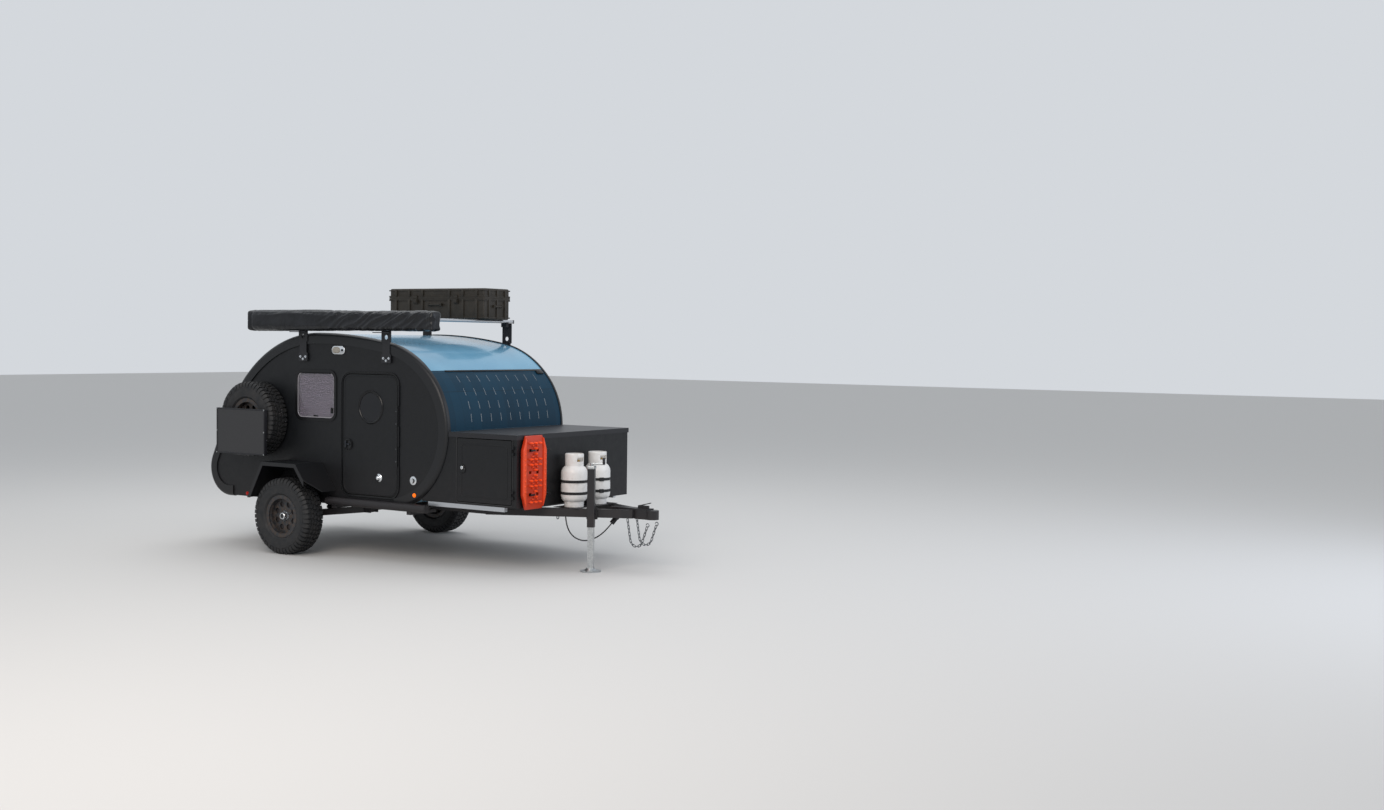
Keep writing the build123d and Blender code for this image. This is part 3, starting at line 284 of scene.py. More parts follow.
# Polyester webbing of the straps: black, with the ribs of its weave across it
WEBBING = finish("strap_webbing", "1e1e20", 0.8,
                 weave=("ShaderNodeTexWave", 1 / 0.008, 0.0004, 0.5, {"bands_direction": "Z"}))
# Painted aluminium table top: dark grey, with fine scratches from use
TABLE = finish("table_sheet", "373738", 0.42, 0.3, stretch=(3.0, 1.0, 40.0), scored=(0.0002, 0.3),
               tone=(0.06, 5.0, 0.55, 0.75, 0.5, "343436", "525253"))

CAD_FINISH = [
    (FRAME_COAT, "chassis_rails crossmembers tongue_rails coupler jack_body bottle_tray box_cap rock_sliders "
                 "trailing_arms arm_hangers stub_axles spare_carrier roof_brackets plug_holder"),
    (LINER, "box_shell box_door_right box_door_left floor_pan cabin_side_right cabin_side_left door_right "
            "door_left"),
    (RIM_TRIM, "edge_bands fenders"), (SKIN_AND_SKY, "roof_shell rear_hatch"), (PLY, "galley_bulkhead"),
    (TRIM_PLASTIC, "opening_trims door_fittings_right door_fittings_left tow_plug"), (CHROME, "door_catches"),
    (DARK_ACRYLIC, "porthole_right porthole_left"), (ACRYLIC, "window_panes"), (SOLAR, "solar_sheet"),
    (CLEAR_LENS, "porch_lamps"), (AMBER_LENS, "amber_lamps"), (RED_LENS, "tail_lamps"), (TABLE, "camp_table"),
    (ALUMINIUM, "box_rails cross_bars"), (JACKET, "air_springs tow_cable"), (ZINC, "safety_chains jack_leg"),
    (RUBBER, "tyre_right tyre_left spare_tyre"), (WHEEL_PAINT, "rim_right rim_left spare_rim"),
    (BAG_CLOTH, "awning_bag"), (RESIN, "roof_case case_lid"), (ENAMEL, "gas_bottles"), (BOARD, "recovery_board"),
]
for look, names in CAD_FINISH:
    for node_name in names.split():
        nodes[node_name].data.materials.clear()
        nodes[node_name].data.materials.append(look)

# Slot and finish of the pieces made here, where several share them
TRIM = ("trim_black", TRIM_PLASTIC)
BRIGHT, ZINCED, WEATHERED = ("steel_zinc", CHROME), ("steel_zinc", ZINC), ("steel_zinc", DULL_ZINC)
SOFT, BODY, WOOD = ("rubber_black", JACKET), ("body_black", LINER), ("wood_birch", PLY)
CASE, TYRE_LOOK = ("case_olive", RESIN), ("tyre_rubber", RUBBER)


# Modelling by hand

def leave():
    """Back to object mode."""
    bpy.ops.object.mode_set(mode="OBJECT")


def deselect():
    if bpy.context.mode != "OBJECT":
        leave()
    bpy.ops.object.select_all(action="DESELECT")


def activate(*pieces):
    """Selects these pieces alone; the first is the active one."""
    deselect()
    for piece in pieces:
        piece.select_set(True)
    bpy.context.view_layer.objects.active = pieces[0]


def edit_all(piece):
    """Edit mode, with all of the piece selected."""
    activate(piece)
    bpy.ops.object.mode_set(mode="EDIT")
    bpy.ops.mesh.select_all(action="SELECT")


def applied(name):
    """Names the object that an operator has just made, and moves its place into its mesh."""
    made = bpy.context.object
    made.name = made.data.name = name
    bpy.ops.object.transform_apply(location=True, rotation=True, scale=True)
    return made


def block(name, low, high):
    """A cube between two corners."""
    low, high = Vector(low), Vector(high)
    deselect()
    bpy.ops.mesh.primitive_cube_add(size=1.0, location=(low + high) / 2, scale=high - low)
    return applied(name)


def rod(name, first, last, radius, sides):
    """A round bar."""
    first, last = Vector(first), Vector(last)
    way = last - first
    deselect()
    bpy.ops.mesh.primitive_cone_add(vertices=sides, radius1=radius, radius2=radius, depth=way.length,
                                    location=(first + last) / 2, rotation=way.to_track_quat("Z", "Y").to_euler())
    return applied(name)


def choose(piece, test, kind="FACE"):
    """In edit mode, selects what passes a test of its place and its direction."""
    edit_all(piece)
    bpy.ops.mesh.select_mode(type=kind)
    bpy.ops.mesh.select_all(action="DESELECT")
    mesh = bmesh.from_edit_mesh(piece.data)
    mesh.normal_update()
    if kind == "FACE":
        rows = [(face, face.calc_center_median(), face.normal) for face in mesh.faces]
    elif kind == "EDGE":
        rows = [(edge, (edge.verts[0].co + edge.verts[1].co) / 2,
                 (edge.verts[1].co - edge.verts[0].co).normalized()) for edge in mesh.edges]
    else:
        rows = [(corner, corner.co, corner.normal) for corner in mesh.verts]
    for item, place, way in rows:
        if test(place, way):
            item.select_set(True)
    mesh.select_flush_mode()
    bmesh.update_edit_mesh(piece.data)


def facing(axis, sign=0, near=0.9):
    """A test for what points along an axis (0, 1 or 2): either way, or one way where it has a sign."""
    return lambda place, way: (way[axis] * sign if sign else abs(way[axis])) > near


def push(x=0.0, y=0.0, z=0.0):
    bpy.ops.transform.translate(value=(x, y, z))


def pull(x=0.0, y=0.0, z=0.0):
    """Extrudes the selection along one way."""
    bpy.ops.mesh.extrude_region_move(TRANSFORM_OT_translate={"value": (x, y, z)})


def size_by(x, y, z, centre):
    bpy.ops.transform.resize(value=(x, y, z), center_override=tuple(centre))


def inset(width):
    bpy.ops.mesh.inset(thickness=width, depth=0.0)


def cut(piece, axis, *places):
    """Cuts right through the piece at places along an axis (0, 1 or 2), and keeps both sides."""
    way = Vector([axis == i for i in range(3)])
    for along in places:
        edit_all(piece)
        bpy.ops.mesh.bisect(plane_co=way * along, plane_no=way)


def tidy(piece):
    """Merges doubles and turns the faces outwards."""
    edit_all(piece)
    bpy.ops.mesh.remove_doubles(threshold=1e-5)
    bpy.ops.mesh.normals_make_consistent(inside=False)
    leave()


def hollow(piece, axis, wall):
    """Opens the piece from end to end along an axis, and leaves a wall round it."""
    choose(piece, facing(axis))
    inset(wall)
    bpy.ops.mesh.bridge_edge_loops()
    tidy(piece)
    return piece


def modify(piece, kind, **settings):
    """Adds a modifier and applies it."""
    activate(piece)
    made = piece.modifiers.new(kind.lower(), kind)
    for name, value in settings.items():
        setattr(made, name, value)
    bpy.ops.object.modifier_apply(modifier=made.name)
    return piece


def rounded(piece, width, segments=2, angle=30.0):
    """Rounds the edges that are sharper than an angle."""
    return modify(piece, "BEVEL", width=width, segments=segments, limit_method="ANGLE",
                  angle_limit=math.radians(angle), use_clamp_overlap=True)


def shaded(piece, angle=35.0):
    activate(piece)
    bpy.ops.object.shade_smooth_by_angle(angle=math.radians(angle))
    return piece


def joined(name, pieces):
    activate(*pieces)
    if len(pieces) > 1:
        bpy.ops.object.join()
    made = bpy.context.object
    made.name = made.data.name = name
    return made


def placed(piece, name, place=Matrix()):
    """A copy with its own mesh, carried to a place and direction given as a matrix."""
    activate(piece)
    bpy.ops.object.duplicate()
    bpy.context.object.matrix_world = place
    return applied(name)


def used(piece, name, place):
    """The piece itself, carried to a place and direction given as a matrix."""
    made = placed(piece, name, place)
    bpy.data.objects.remove(piece)
    return made


def pointing(place, along, across):
    """The matrix that lays X along one direction, and Z square to it and to another."""
    x = Vector(along).normalized()
    z = x.cross(Vector(across)).normalized()
    return Matrix.Translation(place) @ Matrix((x, z.cross(x), z)).transposed().to_4x4()


def twin(piece, name):
    """The same piece on the other side of the trailer."""
    made = placed(piece, name)
    edit_all(made)
    size_by(1, -1, 1, (0, 0, 0))
    bpy.ops.mesh.flip_normals()
    leave()
    return made


def drawn(name, places):
    """A line drawn from place to place, in edit mode and all selected."""
    deselect()
    bpy.ops.mesh.primitive_plane_add(size=0.01)
    made = applied(name)
    edit_all(made)
    bpy.ops.mesh.select_mode(type="VERT")
    bpy.ops.mesh.merge(type="CENTER")
    push(*places[0])
    for last, place in zip(places, places[1:]):
        pull(*(place - last))
    bpy.ops.mesh.select_all(action="SELECT")
    return made


def turned(name, centre, axis, rows, steps, closed=False):
    """A round piece: its outline is drawn and spun. Rows: radius, distance along the axis."""
    centre = Vector(centre)
    out = AHEAD if abs(axis.z) > 0.5 else UP
    places = [centre + out * radius + axis * along for radius, along in rows]
    made = drawn(name, places + places[:1] if closed else places)
    bpy.ops.mesh.spin(steps=steps, angle=2 * math.pi, center=centre, axis=axis)
    tidy(made)
    return made


def around(x, z, half_x, half_z):
    """A rectangle about a place: rear, front, bottom, top."""
    return x - half_x, x + half_x, z - half_z, z + half_z


def grown(box, by):
    """A rectangle with each side moved out."""
    rear, front, bottom, top = box
    return rear - by, front + by, bottom - by, top + by


def plate(name, box, corner, near, far, segments=6):
    """An upright plate with rounded corners on the right side, between two distances from the middle."""
    rear, front, bottom, top = box
    made = block(name, (AXLE + rear, -far, bottom), (AXLE + front, -near, top))
    choose(made, facing(1), "EDGE")
    bpy.ops.mesh.bevel(offset=corner, segments=segments, affect="EDGES")
    leave()
    return made


def ring_plate(name, box, corner, width, near, far, segments=8):
    """The rim of such a plate."""
    return hollow(plate(name, box, corner, near, far, segments), 1, width)


def dress(piece, body, look, *stands_for):
    """Gives a finished piece its material and its body, and hides the CAD nodes that it stands for."""
    slot, material = look
    piece.data.materials.clear()
    piece.data.materials.append(material)
    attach(piece, body)
    if stands_for:
        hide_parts(*stands_for)
    return piece


def on_both(name, parts, look, *stands_for):
    """Right-hand parts and their twins as one piece of the trailer."""
    right = joined(name, parts)
    made = joined(name, [right, twin(right, name + "_other")])
    return dress(made, "trailer", look, *stands_for)


def on_each(name, parts, body, look, node=None):
    """Right-hand parts on the right-hand body, and their twins on the left-hand one."""
    right = joined(name + "_right", parts)
    left = twin(right, name + "_left")
    for piece, side in ((right, "right"), (left, "left")):
        dress(piece, body + "_" + side, look, *([node + "_" + side] if node else []))


def course(node, centre, first, last, steps, off, outside=False):
    """Places along the inside or outside of a curved node, off metres out from it, about a centre.

    The angles are degrees up from straight ahead."""
    places = []
    for step in range(steps + 1):
        angle = math.radians(first + (last - first) * step / steps)
        way = Vector((math.cos(angle), 0, math.sin(angle)))
        at = surface_at(node, centre + way * 3.0, -way)[0] if outside else surface_at(node, centre, way)[0]
        places.append(at + way * off)
    return places


def curved_sheet(name, places, y, width, thickness, centre, outward=1):
    """A sheet through a row of places, from y on, thickened away from a centre or towards it (-1)."""
    made = drawn(name, [Vector((place.x, y, place.z)) for place in places])
    pull(y=width)
    leave()
    flat = made.data.polygons[len(places) // 2]
    side = flat.normal.dot(flat.center - centre) * outward
    return modify(made, "SOLIDIFY", thickness=thickness, offset=1.0 if side > 0 else -1.0)


# Tow cable, from its gland under the right tongue rail to the plug in its holder

CABLE_ROUTE = [(2.760, -0.326, 0.483), (2.768, -0.322, 0.395), (2.815, -0.292, 0.300), (2.902, -0.238, 0.258),
               (2.995, -0.178, 0.290), (3.060, -0.120, 0.356), (3.096, -0.076, 0.424)]
CABLE_LENGTH, CABLE_DIAMETER = 0.612, 0.012


def tow_cable():
    line = bpy.data.curves.new("tow_cable_line", "CURVE")
    line.dimensions = "3D"
    spline = line.splines.new("NURBS")
    spline.points.add(len(CABLE_ROUTE) - 1)
    for point, place in zip(spline.points, CABLE_ROUTE):
        point.co = (*here(*place), 1.0)
    spline.order_u = 3
    spline.use_endpoint_u = True
    spline.resolution_u = 12
    line.bevel_depth = CABLE_DIAMETER / 2
    line.bevel_resolution = 4
    line.use_fill_caps = True
    made = bpy.data.objects.new("tow_cable_jacket", line)
    bpy.context.scene.collection.objects.link(made)
    dress(made, "trailer", SOFT, "tow_cable")


tow_cable()


# Tyres: carcass with raised rings on its side walls, and the blocks of an all-terrain tread

TREAD_BASE = TYRE_RADIUS - 0.015             # grooves 15 mm deep
TREAD_TOP = TYRE_RADIUS - 0.0006
CARCASS = [  # radius, distance from the tyre's middle: one half, from the bead to the tread
    (0.1905, 0.0800), (0.2050, 0.0885), (0.2110, 0.0990), (0.2190, 0.1060), (0.2240, 0.1100), (0.2290, 0.1090),
    (0.2450, 0.1125), (0.2650, 0.1150), (0.2850, 0.1152), (0.2980, 0.1146), (0.3010, 0.1170), (0.3050, 0.1168),
    (0.3080, 0.1130), (0.3250, 0.1090), (0.3370, 0.1030), (0.3460, 0.0950), (TREAD_BASE, 0.0840),
    (TREAD_BASE + 0.002, 0.0430),
]
PITCHES = 24
TREAD_BLOCKS = [  # across, along, length, turn in degrees: the middle blocks of one pitch
    (0.000, 0.002, 0.036, 20), (0.000, 0.050, 0.036, -20), (0.0385, -0.010, 0.035, -16),
    (0.0385, 0.038, 0.037, 14), (-0.0385, 0.014, 0.037, 16), (-0.0385, 0.062, 0.035, -14),
]
BLOCK_WIDTH = 0.030
LUGS = [  # side, along, length, how far down the side wall: the shoulder lugs of one pitch
    (1, 0.000, 0.036, 0.026), (1, 0.048, 0.032, 0.006), (-1, 0.022, 0.036, 0.026), (-1, 0.070, 0.032, 0.006),
]
LUG_INNER, LUG_OUTER = 0.0600, 0.0900        # of a lug's top, from the tyre's middle


def at_angle(piece, along):
    """Turns a block that stands on top of the wheel to its place round the tread."""
    edit_all(piece)
    bpy.ops.transform.rotate(value=along / TYRE_RADIUS, orient_axis="Y", center_override=tuple(WHEEL_R))
    leave()
    return piece


def tread_block(across, along, length, turn):
    x, y, z = WHEEL_R.x, WHEEL_R.y + across, WHEEL_R.z
    piece = block("tread_block", (x - length / 2, y - BLOCK_WIDTH / 2, z + TREAD_BASE - 0.003),
                  (x + length / 2, y + BLOCK_WIDTH / 2, z + TREAD_TOP))
    choose(piece, facing(2, 1))
    size_by(0.86, 0.88, 1, (x, y, z))
    choose(piece, lambda place, way: place.x > x and place.y > y, "VERT")
    push(x=-0.005)
    choose(piece, lambda place, way: True)
    bpy.ops.transform.rotate(value=math.radians(turn), orient_axis="Z", center_override=(x, y, z))
    choose(piece, facing(2, 1, 0.8))
    inset(0.0016)
    push(z=0.0005)
    return at_angle(piece, along)


def shoulder_lug(side, along, length, down):
    x, y, z = WHEEL_R
    inner, outer = y + side * LUG_INNER, y + side * LUG_OUTER
    piece = block("tread_lug", (x - length / 2, min(inner, outer), z + TREAD_BASE - 0.004),
                  (x + length / 2, max(inner, outer), z + TREAD_TOP))
    choose(piece, facing(1, side))
    pull(y=side * 0.0150, z=-0.0120)
    pull(y=side * 0.0080, z=-0.0160)
    pull(y=side * 0.0020, z=-down)
    choose(piece, facing(2, 1))
    size_by(0.88, 0.97, 1, (x, (inner + outer) / 2, z))
    return at_angle(piece, along)


def tyre(name):
    made = turned(name, WHEEL_R, LEFT, CARCASS + [(radius, -y) for radius, y in reversed(CARCASS)], 96, True)
    blocks = [tread_block(*row) for row in TREAD_BLOCKS] + [shoulder_lug(*row) for row in LUGS]
    pitch = joined(name + "_pitch", blocks)
    edit_all(pitch)
    bpy.ops.mesh.spin(steps=PITCHES - 1, dupli=True, angle=2 * math.pi * (PITCHES - 1) / PITCHES,
                      center=WHEEL_R, axis=LEFT)
    return shaded(joined(name, [made, pitch]), 30)


TYRE = dress(tyre("treaded_tyre_right"), "wheel_right", TYRE_LOOK, "tyre_right")
dress(twin(TYRE, "treaded_tyre_left"), "wheel_left", TYRE_LOOK, "tyre_left")
dress(placed(TYRE, "treaded_spare", Matrix.Translation(SPARE - WHEEL_R)), "trailer", TYRE_LOOK, "spare_tyre")


# Awning in its bag: a long sleeve, pulled into diagonal folds on its front half

BAG_LOW, BAG_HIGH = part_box("awning_bag")
BAG_LENGTH, BAG_WIDTH, BAG_TALL = BAG_HIGH - BAG_LOW
BAG_INSET = Vector((0.004, 0.004, 0.004))    # room for the air that fills it
BAG_CUTS = (180, 10, 16)                     # along, across, up
BAG_MESH = 0.006                             # size of the remeshed cloth
BAG_MOVE = 0.007                             # the farthest that the cloth may move
BAG_SLACK = 0.015                            # the cloth's part of extra length
BAG_MOMENTS = 20
BAG_SEAMS = (0.035, 0.965)                   # of the length: where the end pieces are sewn on
FOLD_START, FOLD_RUN, FOLD_DEPTH = 0.38, 0.20, 0.021      # the first two are parts of the length


def ridge(value):
    """A fold across its width: a narrow crest, one for each whole number, with slack cloth between."""
    return max(0.0, 1.0 - 1.5 * abs(math.sin(value * math.pi))) ** 1.3


def fill_with_air(made):
    """Remeshes the bag evenly, then lets it fill; its lower inner seam is held on the brackets."""
    modify(made, "REMESH", mode="VOXEL", voxel_size=BAG_MESH)
    before = [corner.co.copy() for corner in made.data.vertices]
    held = made.vertex_groups.new(name="held")
    held.add([corner.index for corner in made.data.vertices
              if corner.co.z < BAG_LOW.z + 0.02 and corner.co.y > BAG_HIGH.y - 0.05], 1.0, "ADD")
    activate(made)
    cloth = made.modifiers.new("cloth", "CLOTH")
    cloth.settings.quality = 4
    cloth.settings.mass = 0.4                # a heavy coated polyester
    cloth.settings.tension_stiffness = cloth.settings.compression_stiffness = 20
    cloth.settings.shear_stiffness = 8
    cloth.settings.bending_stiffness = 0.8
    cloth.settings.shrink_min = -BAG_SLACK
    cloth.settings.use_pressure = True
    cloth.settings.uniform_pressure_force = 4.0
    cloth.settings.vertex_group_mass = "held"
    cloth.settings.effector_weights.gravity = 0.0
    cloth.point_cache.frame_start, cloth.point_cache.frame_end = 1, BAG_MOMENTS
    for moment in range(1, BAG_MOMENTS + 1):
        bpy.context.scene.frame_set(moment)
    bpy.ops.object.modifier_apply(modifier="cloth")
    for corner, first in zip(made.data.vertices, before):
        move = corner.co - first
        if move.length > BAG_MOVE:
            corner.co = first + move * (BAG_MOVE / move.length)


def bag_sink(place, part, out):
    """How far the cloth lies below the bag's box at a place, part of the way along it."""
    wander = mathnoise.noise(place * 4.0)
    # folds run up towards the front over the outer face, then on over the top
    rise = (place.z - BAG_LOW.z) + 0.8 * (place.y - BAG_LOW.y)
    pulled = max(0.0, min(1.0, (part - FOLD_START) / FOLD_RUN))
    height = 0.7 + 0.6 * mathnoise.noise(place * 3.0 + out)
    crest = ridge(place.x * 4.6 - rise * 9.0 + 0.5 * wander) * height
    second = ridge(place.x * 8.1 - rise * 13.0 + 0.7 * wander + 0.3) * 0.5
    depth = FOLD_DEPTH * pulled * (1.0 - min(1.0, max(crest, second)))
    slack = 0.003 * math.sin(place.x * 5.0 + out.z * 2.0) + 0.001 * math.sin(place.x * 21.0 + place.y * 31.0)
    small = 0.002 * mathnoise.noise(place * 12.0) + 0.001 * mathnoise.noise(place * 33.0)
    seam = 0.005 * sum(math.exp(-((part - end) * BAG_LENGTH / 0.009) ** 2) for end in BAG_SEAMS)
    ends = min(1.0, part / 0.02, (1.0 - part) / 0.02)
    return 0.001 + seam + ends * (depth + slack + small) * (0.35 + 0.65 * abs(out.y))


def awning_bag():
    made = rounded(block("awning_bag_cloth", BAG_LOW + BAG_INSET, BAG_HIGH - BAG_INSET), 0.030, 4)
    for axis in (0, 2, 1):
        low, size, count = BAG_LOW[axis], (BAG_HIGH - BAG_LOW)[axis], BAG_CUTS[axis]
        cut(made, axis, *(low + size * step / count for step in range(1, count)))
    tidy(made)
    middle_y, middle_z = (BAG_LOW.y + BAG_HIGH.y) / 2, (BAG_LOW.z + BAG_HIGH.z) / 2
    for corner in made.data.vertices:
        place = corner.co
        out = Vector((0, (place.y - middle_y) / BAG_WIDTH, (place.z - middle_z) / BAG_TALL))
        if out.length >= 0.05:
            out.normalize()
            place -= out * bag_sink(place, (place.x - BAG_LOW.x) / BAG_LENGTH, out)
    fill_with_air(made)
    shaded(made, 60)
    return dress(made, "trailer", ("bag_black", BAG_CLOTH), "awning_bag")


awning_bag()


# Recovery board: a moulded plate with tapered ends, rows of studs and six slots

BOARD_LOW, BOARD_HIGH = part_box("recovery_board")
BOARD_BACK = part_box("box_shell")[1].x + 0.012
BOARD_FLOOR = BOARD_BACK + 0.022             # between the studs
BOARD_LENGTH, BOARD_WIDTH = BOARD_HIGH.z - BOARD_LOW.z, BOARD_HIGH.y - BOARD_LOW.y
BOARD_Y, BOARD_Z = (BOARD_LOW.y + BOARD_HIGH.y) / 2, (BOARD_LOW.z + BOARD_HIGH.z) / 2
BOARD_EDGE, BOARD_RISE = 0.042, 0.014        # standing edge: its width, and how far it stands
BOARD_TAPER, BOARD_END = 0.130, 0.232        # the ends narrow over this length to this width
SLOT_Y, SLOT_HALF = 0.052, (0.017, 0.013)    # each slot: from the middle, half its width and height
SLOT_RISES = [BOARD_LOW.z + part * BOARD_LENGTH for part in (0.2, 0.5, 0.8)]
STUD_ROWS, STUD_COLUMNS = 12, 3
STUD_PITCH = (0.048, 0.062)                  # along the board, across it
STUD = [(0.0, 0.035), (0.0030, 0.035), (0.0045, 0.038), (0.0068, 0.0375), (0.0125, 0.002), (0.0145, -0.001)]
SMALL_STUD = [(0.0, 0.020), (0.0040, 0.0195), (0.0060, 0.017), (0.0105, -0.001)]
EDGE_STUD = [(0.0, 0.006), (0.006, 0.006), (0.009, 0.004), (0.011, -0.001)]


def by_slot(z, reach):
    return any(abs(z - slot) < reach for slot in SLOT_RISES)


def board_plate():
    half = BOARD_WIDTH / 2
    made = block("moulded_board", (BOARD_BACK, BOARD_LOW.y, BOARD_LOW.z),
                 (BOARD_FLOOR, BOARD_HIGH.y, BOARD_HIGH.z))
    cut(made, 2, BOARD_LOW.z + BOARD_TAPER, BOARD_HIGH.z - BOARD_TAPER)
    for z in (BOARD_LOW.z, BOARD_HIGH.z):
        choose(made, lambda place, way: abs(place.z - z) < 1e-4, "VERT")
        size_by(1, BOARD_END / BOARD_WIDTH, 1, (0, BOARD_Y, z))
    for side in (-1, 1):
        cut(made, 1, BOARD_Y + side * (half - BOARD_EDGE), *(BOARD_Y + side * SLOT_Y + across
                                                            for across in (-SLOT_HALF[0], SLOT_HALF[0])))
    for z in SLOT_RISES:
        cut(made, 2, z - SLOT_HALF[1], z + SLOT_HALF[1])
    choose(made, lambda place, way: way.x > 0.9 and abs(place.y - BOARD_Y) > half - BOARD_EDGE - 0.0005)
    pull(x=BOARD_RISE)
    choose(made, lambda place, way: abs(way.x) > 0.9 and by_slot(place.z, SLOT_HALF[1])
           and abs(abs(place.y - BOARD_Y) - SLOT_Y) < SLOT_HALF[0])
    bpy.ops.mesh.delete(type="FACE")
    for z in SLOT_RISES:
        for y in (BOARD_Y - SLOT_Y, BOARD_Y + SLOT_Y):
            choose(made, lambda place, way: abs(place.y - y) < SLOT_HALF[0] + 0.0005
                   and abs(place.z - z) < SLOT_HALF[1] + 0.0005, "EDGE")
            bpy.ops.mesh.bridge_edge_loops()
    tidy(made)
    return rounded(made, 0.004, 2, 40)


def board_studs():
    """Large studs in columns, small ones staggered between their rows, and low ones along both edges."""
    studs = []
    for row in range(2 * STUD_ROWS - 1):
        z = BOARD_Z + (row / 2 - (STUD_ROWS - 1) / 2) * STUD_PITCH[0]
        if row % 2:
            if not by_slot(z, 0.026):
                studs += [turned("small_stud", (BOARD_FLOOR, BOARD_Y + column * STUD_PITCH[1], z), AHEAD,
                                 SMALL_STUD, 8) for column in (-0.5, 0.5)]
            continue
        for column in range(STUD_COLUMNS):
            y = BOARD_Y + (column - (STUD_COLUMNS - 1) / 2) * STUD_PITCH[1]
            if column == 1 or not by_slot(z, 0.030):
                studs.append(turned("stud", (BOARD_FLOOR, y, z), AHEAD, STUD, 12))
        if abs(z - BOARD_Z) < BOARD_LENGTH / 2 - BOARD_TAPER:
            for side in (-1, 1):
                foot = (BOARD_FLOOR + BOARD_RISE, BOARD_Y + side * (BOARD_WIDTH / 2 - 0.020), z)
                studs.append(turned("edge_stud", foot, AHEAD, EDGE_STUD, 8))
    return studs


BOARD_PIECE = shaded(joined("moulded_board", [board_plate()] + board_studs()), 40)
dress(BOARD_PIECE, "trailer", ("board_red", BOARD), "recovery_board")


# Gas bottles: pressed halves with a weld between, foot ring, collar with a window

TRAY_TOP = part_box("gas_bottles")[0].z
BOTTLE_X = middle("gas_bottles").x
BOTTLE_RADIUS = (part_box("gas_bottles")[1].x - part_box("gas_bottles")[0].x) / 2
BOTTLE_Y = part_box("gas_bottles")[1].y - BOTTLE_RADIUS
BOTTLE_FOOT = Vector((BOTTLE_X, BOTTLE_Y, TRAY_TOP))
BOTTLE = [  # radius, height: the pressed shell
    (0.0, 0.040), (0.070, 0.042), (0.100, 0.052), (0.117, 0.072), (BOTTLE_RADIUS, 0.100),
    (BOTTLE_RADIUS, 0.206), (BOTTLE_RADIUS - 0.003, 0.209), (BOTTLE_RADIUS - 0.003, 0.213),
    (BOTTLE_RADIUS, 0.216), (BOTTLE_RADIUS, 0.305), (0.118, 0.330), (0.105, 0.356), (0.084, 0.375),
    (0.055, 0.387), (0.020, 0.390), (0.0, 0.390),
]
FOOT_RING = [(0.086, 0.0), (0.090, 0.0), (0.090, 0.052), (0.086, 0.052)]
COLLAR = [(0.079, 0.362), (0.084, 0.362), (0.086, 0.470), (0.086, 0.482), (0.083, 0.486), (0.079, 0.484),
          (0.079, 0.470)]
COLLAR_WINDOW, WINDOW_HALF = (0.415, 0.455), 0.045        # its heights, and half its width


def gas_bottle():
    shell = turned("gas_bottle", BOTTLE_FOOT, UP, BOTTLE, 40)
    foot = turned("foot_ring", BOTTLE_FOOT, UP, FOOT_RING, 40, True)
    collar = turned("collar", BOTTLE_FOOT, UP, COLLAR, 40, True)
    low, high = [TRAY_TOP + z for z in COLLAR_WINDOW]
    cut(collar, 2, low, high)
    choose(collar, lambda at, way: low < at.z < high and abs(at.y - BOTTLE_Y) < WINDOW_HALF
           and at.x > BOTTLE_X and abs(way.z) < 0.5)
    bpy.ops.mesh.delete(type="FACE")
    bpy.ops.mesh.select_mode(type="EDGE")
    bpy.ops.mesh.select_non_manifold()
    bpy.ops.mesh.bridge_edge_loops()
    tidy(collar)
    return shaded(joined("gas_bottle", [shell, foot, collar]), 40)


FIRST_BOTTLE = gas_bottle()
dress(joined("gas_bottle_pair", [FIRST_BOTTLE, twin(FIRST_BOTTLE, "second_bottle")]), "trailer",
      ("bottle_white", ENAMEL), "gas_bottles")


# Hard case on the roof: ribbed tub and lid, latches, handles

CASE_LOW, CASE_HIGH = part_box("roof_case")
LID_LOW, LID_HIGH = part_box("case_lid")
CASE_BACK = CASE_HIGH.y - 0.014              # the hinges stand behind the shell
CASE_X, CASE_Y = (CASE_LOW.x + CASE_HIGH.x) / 2, (CASE_LOW.y + CASE_BACK) / 2
CASE_SEAM = LID_LOW.z + 0.006
CASE_WALL, CASE_INSET = 0.008, Vector((0.012, 0.012, 0))  # the tub's wall, and how deep its ribs stand
RIB_HALF, RIB_DEEP = 0.013, 0.016            # half a rib's width, and its depth with its root
RIB_PARTS, END_RIB_PARTS = (0.08, 0.22, 0.36, 0.64, 0.78, 0.92), (0.2, 0.5, 0.8)
BELT = 0.006                                 # how deep the belts stand, and half their height
KNUCKLE = 0.040                              # pitch of the hinges' knuckles


def ribbed(name, low, high, open_side):
    """Half of the case: a rounded tub, open on one side, with upright ribs on its four walls."""
    tub = rounded(block(name, low + CASE_INSET, high - CASE_INSET), 0.016, 3, 60)
    choose(tub, facing(2, open_side))
    inset(CASE_WALL)
    pull(z=-open_side * (high.z - low.z - CASE_WALL))
    parts = [tub]
    z0, z1 = low.z + 0.012, high.z - 0.012
    for x in (low.x + (high.x - low.x) * part for part in RIB_PARTS):
        for y0, y1 in ((low.y, low.y + RIB_DEEP), (high.y - RIB_DEEP, high.y)):
            parts.append(block("rib", (x - RIB_HALF, y0, z0), (x + RIB_HALF, y1, z1)))
    for y in (low.y + (high.y - low.y) * part for part in END_RIB_PARTS):
        for x0, x1 in ((low.x, low.x + RIB_DEEP), (high.x - RIB_DEEP, high.x)):
            parts.append(block("rib", (x0, y - RIB_HALF, z0), (x1, y + RIB_HALF, z1)))
    for z in (low.z + 0.020, high.z - 0.020):
        belt = block("belt", (low.x + BELT, low.y + BELT, z - BELT), (high.x - BELT, high.y - BELT, z + BELT))
        parts.append(hollow(belt, 2, 0.010))
    return shaded(rounded(joined(name, parts), 0.003, 2, 50))


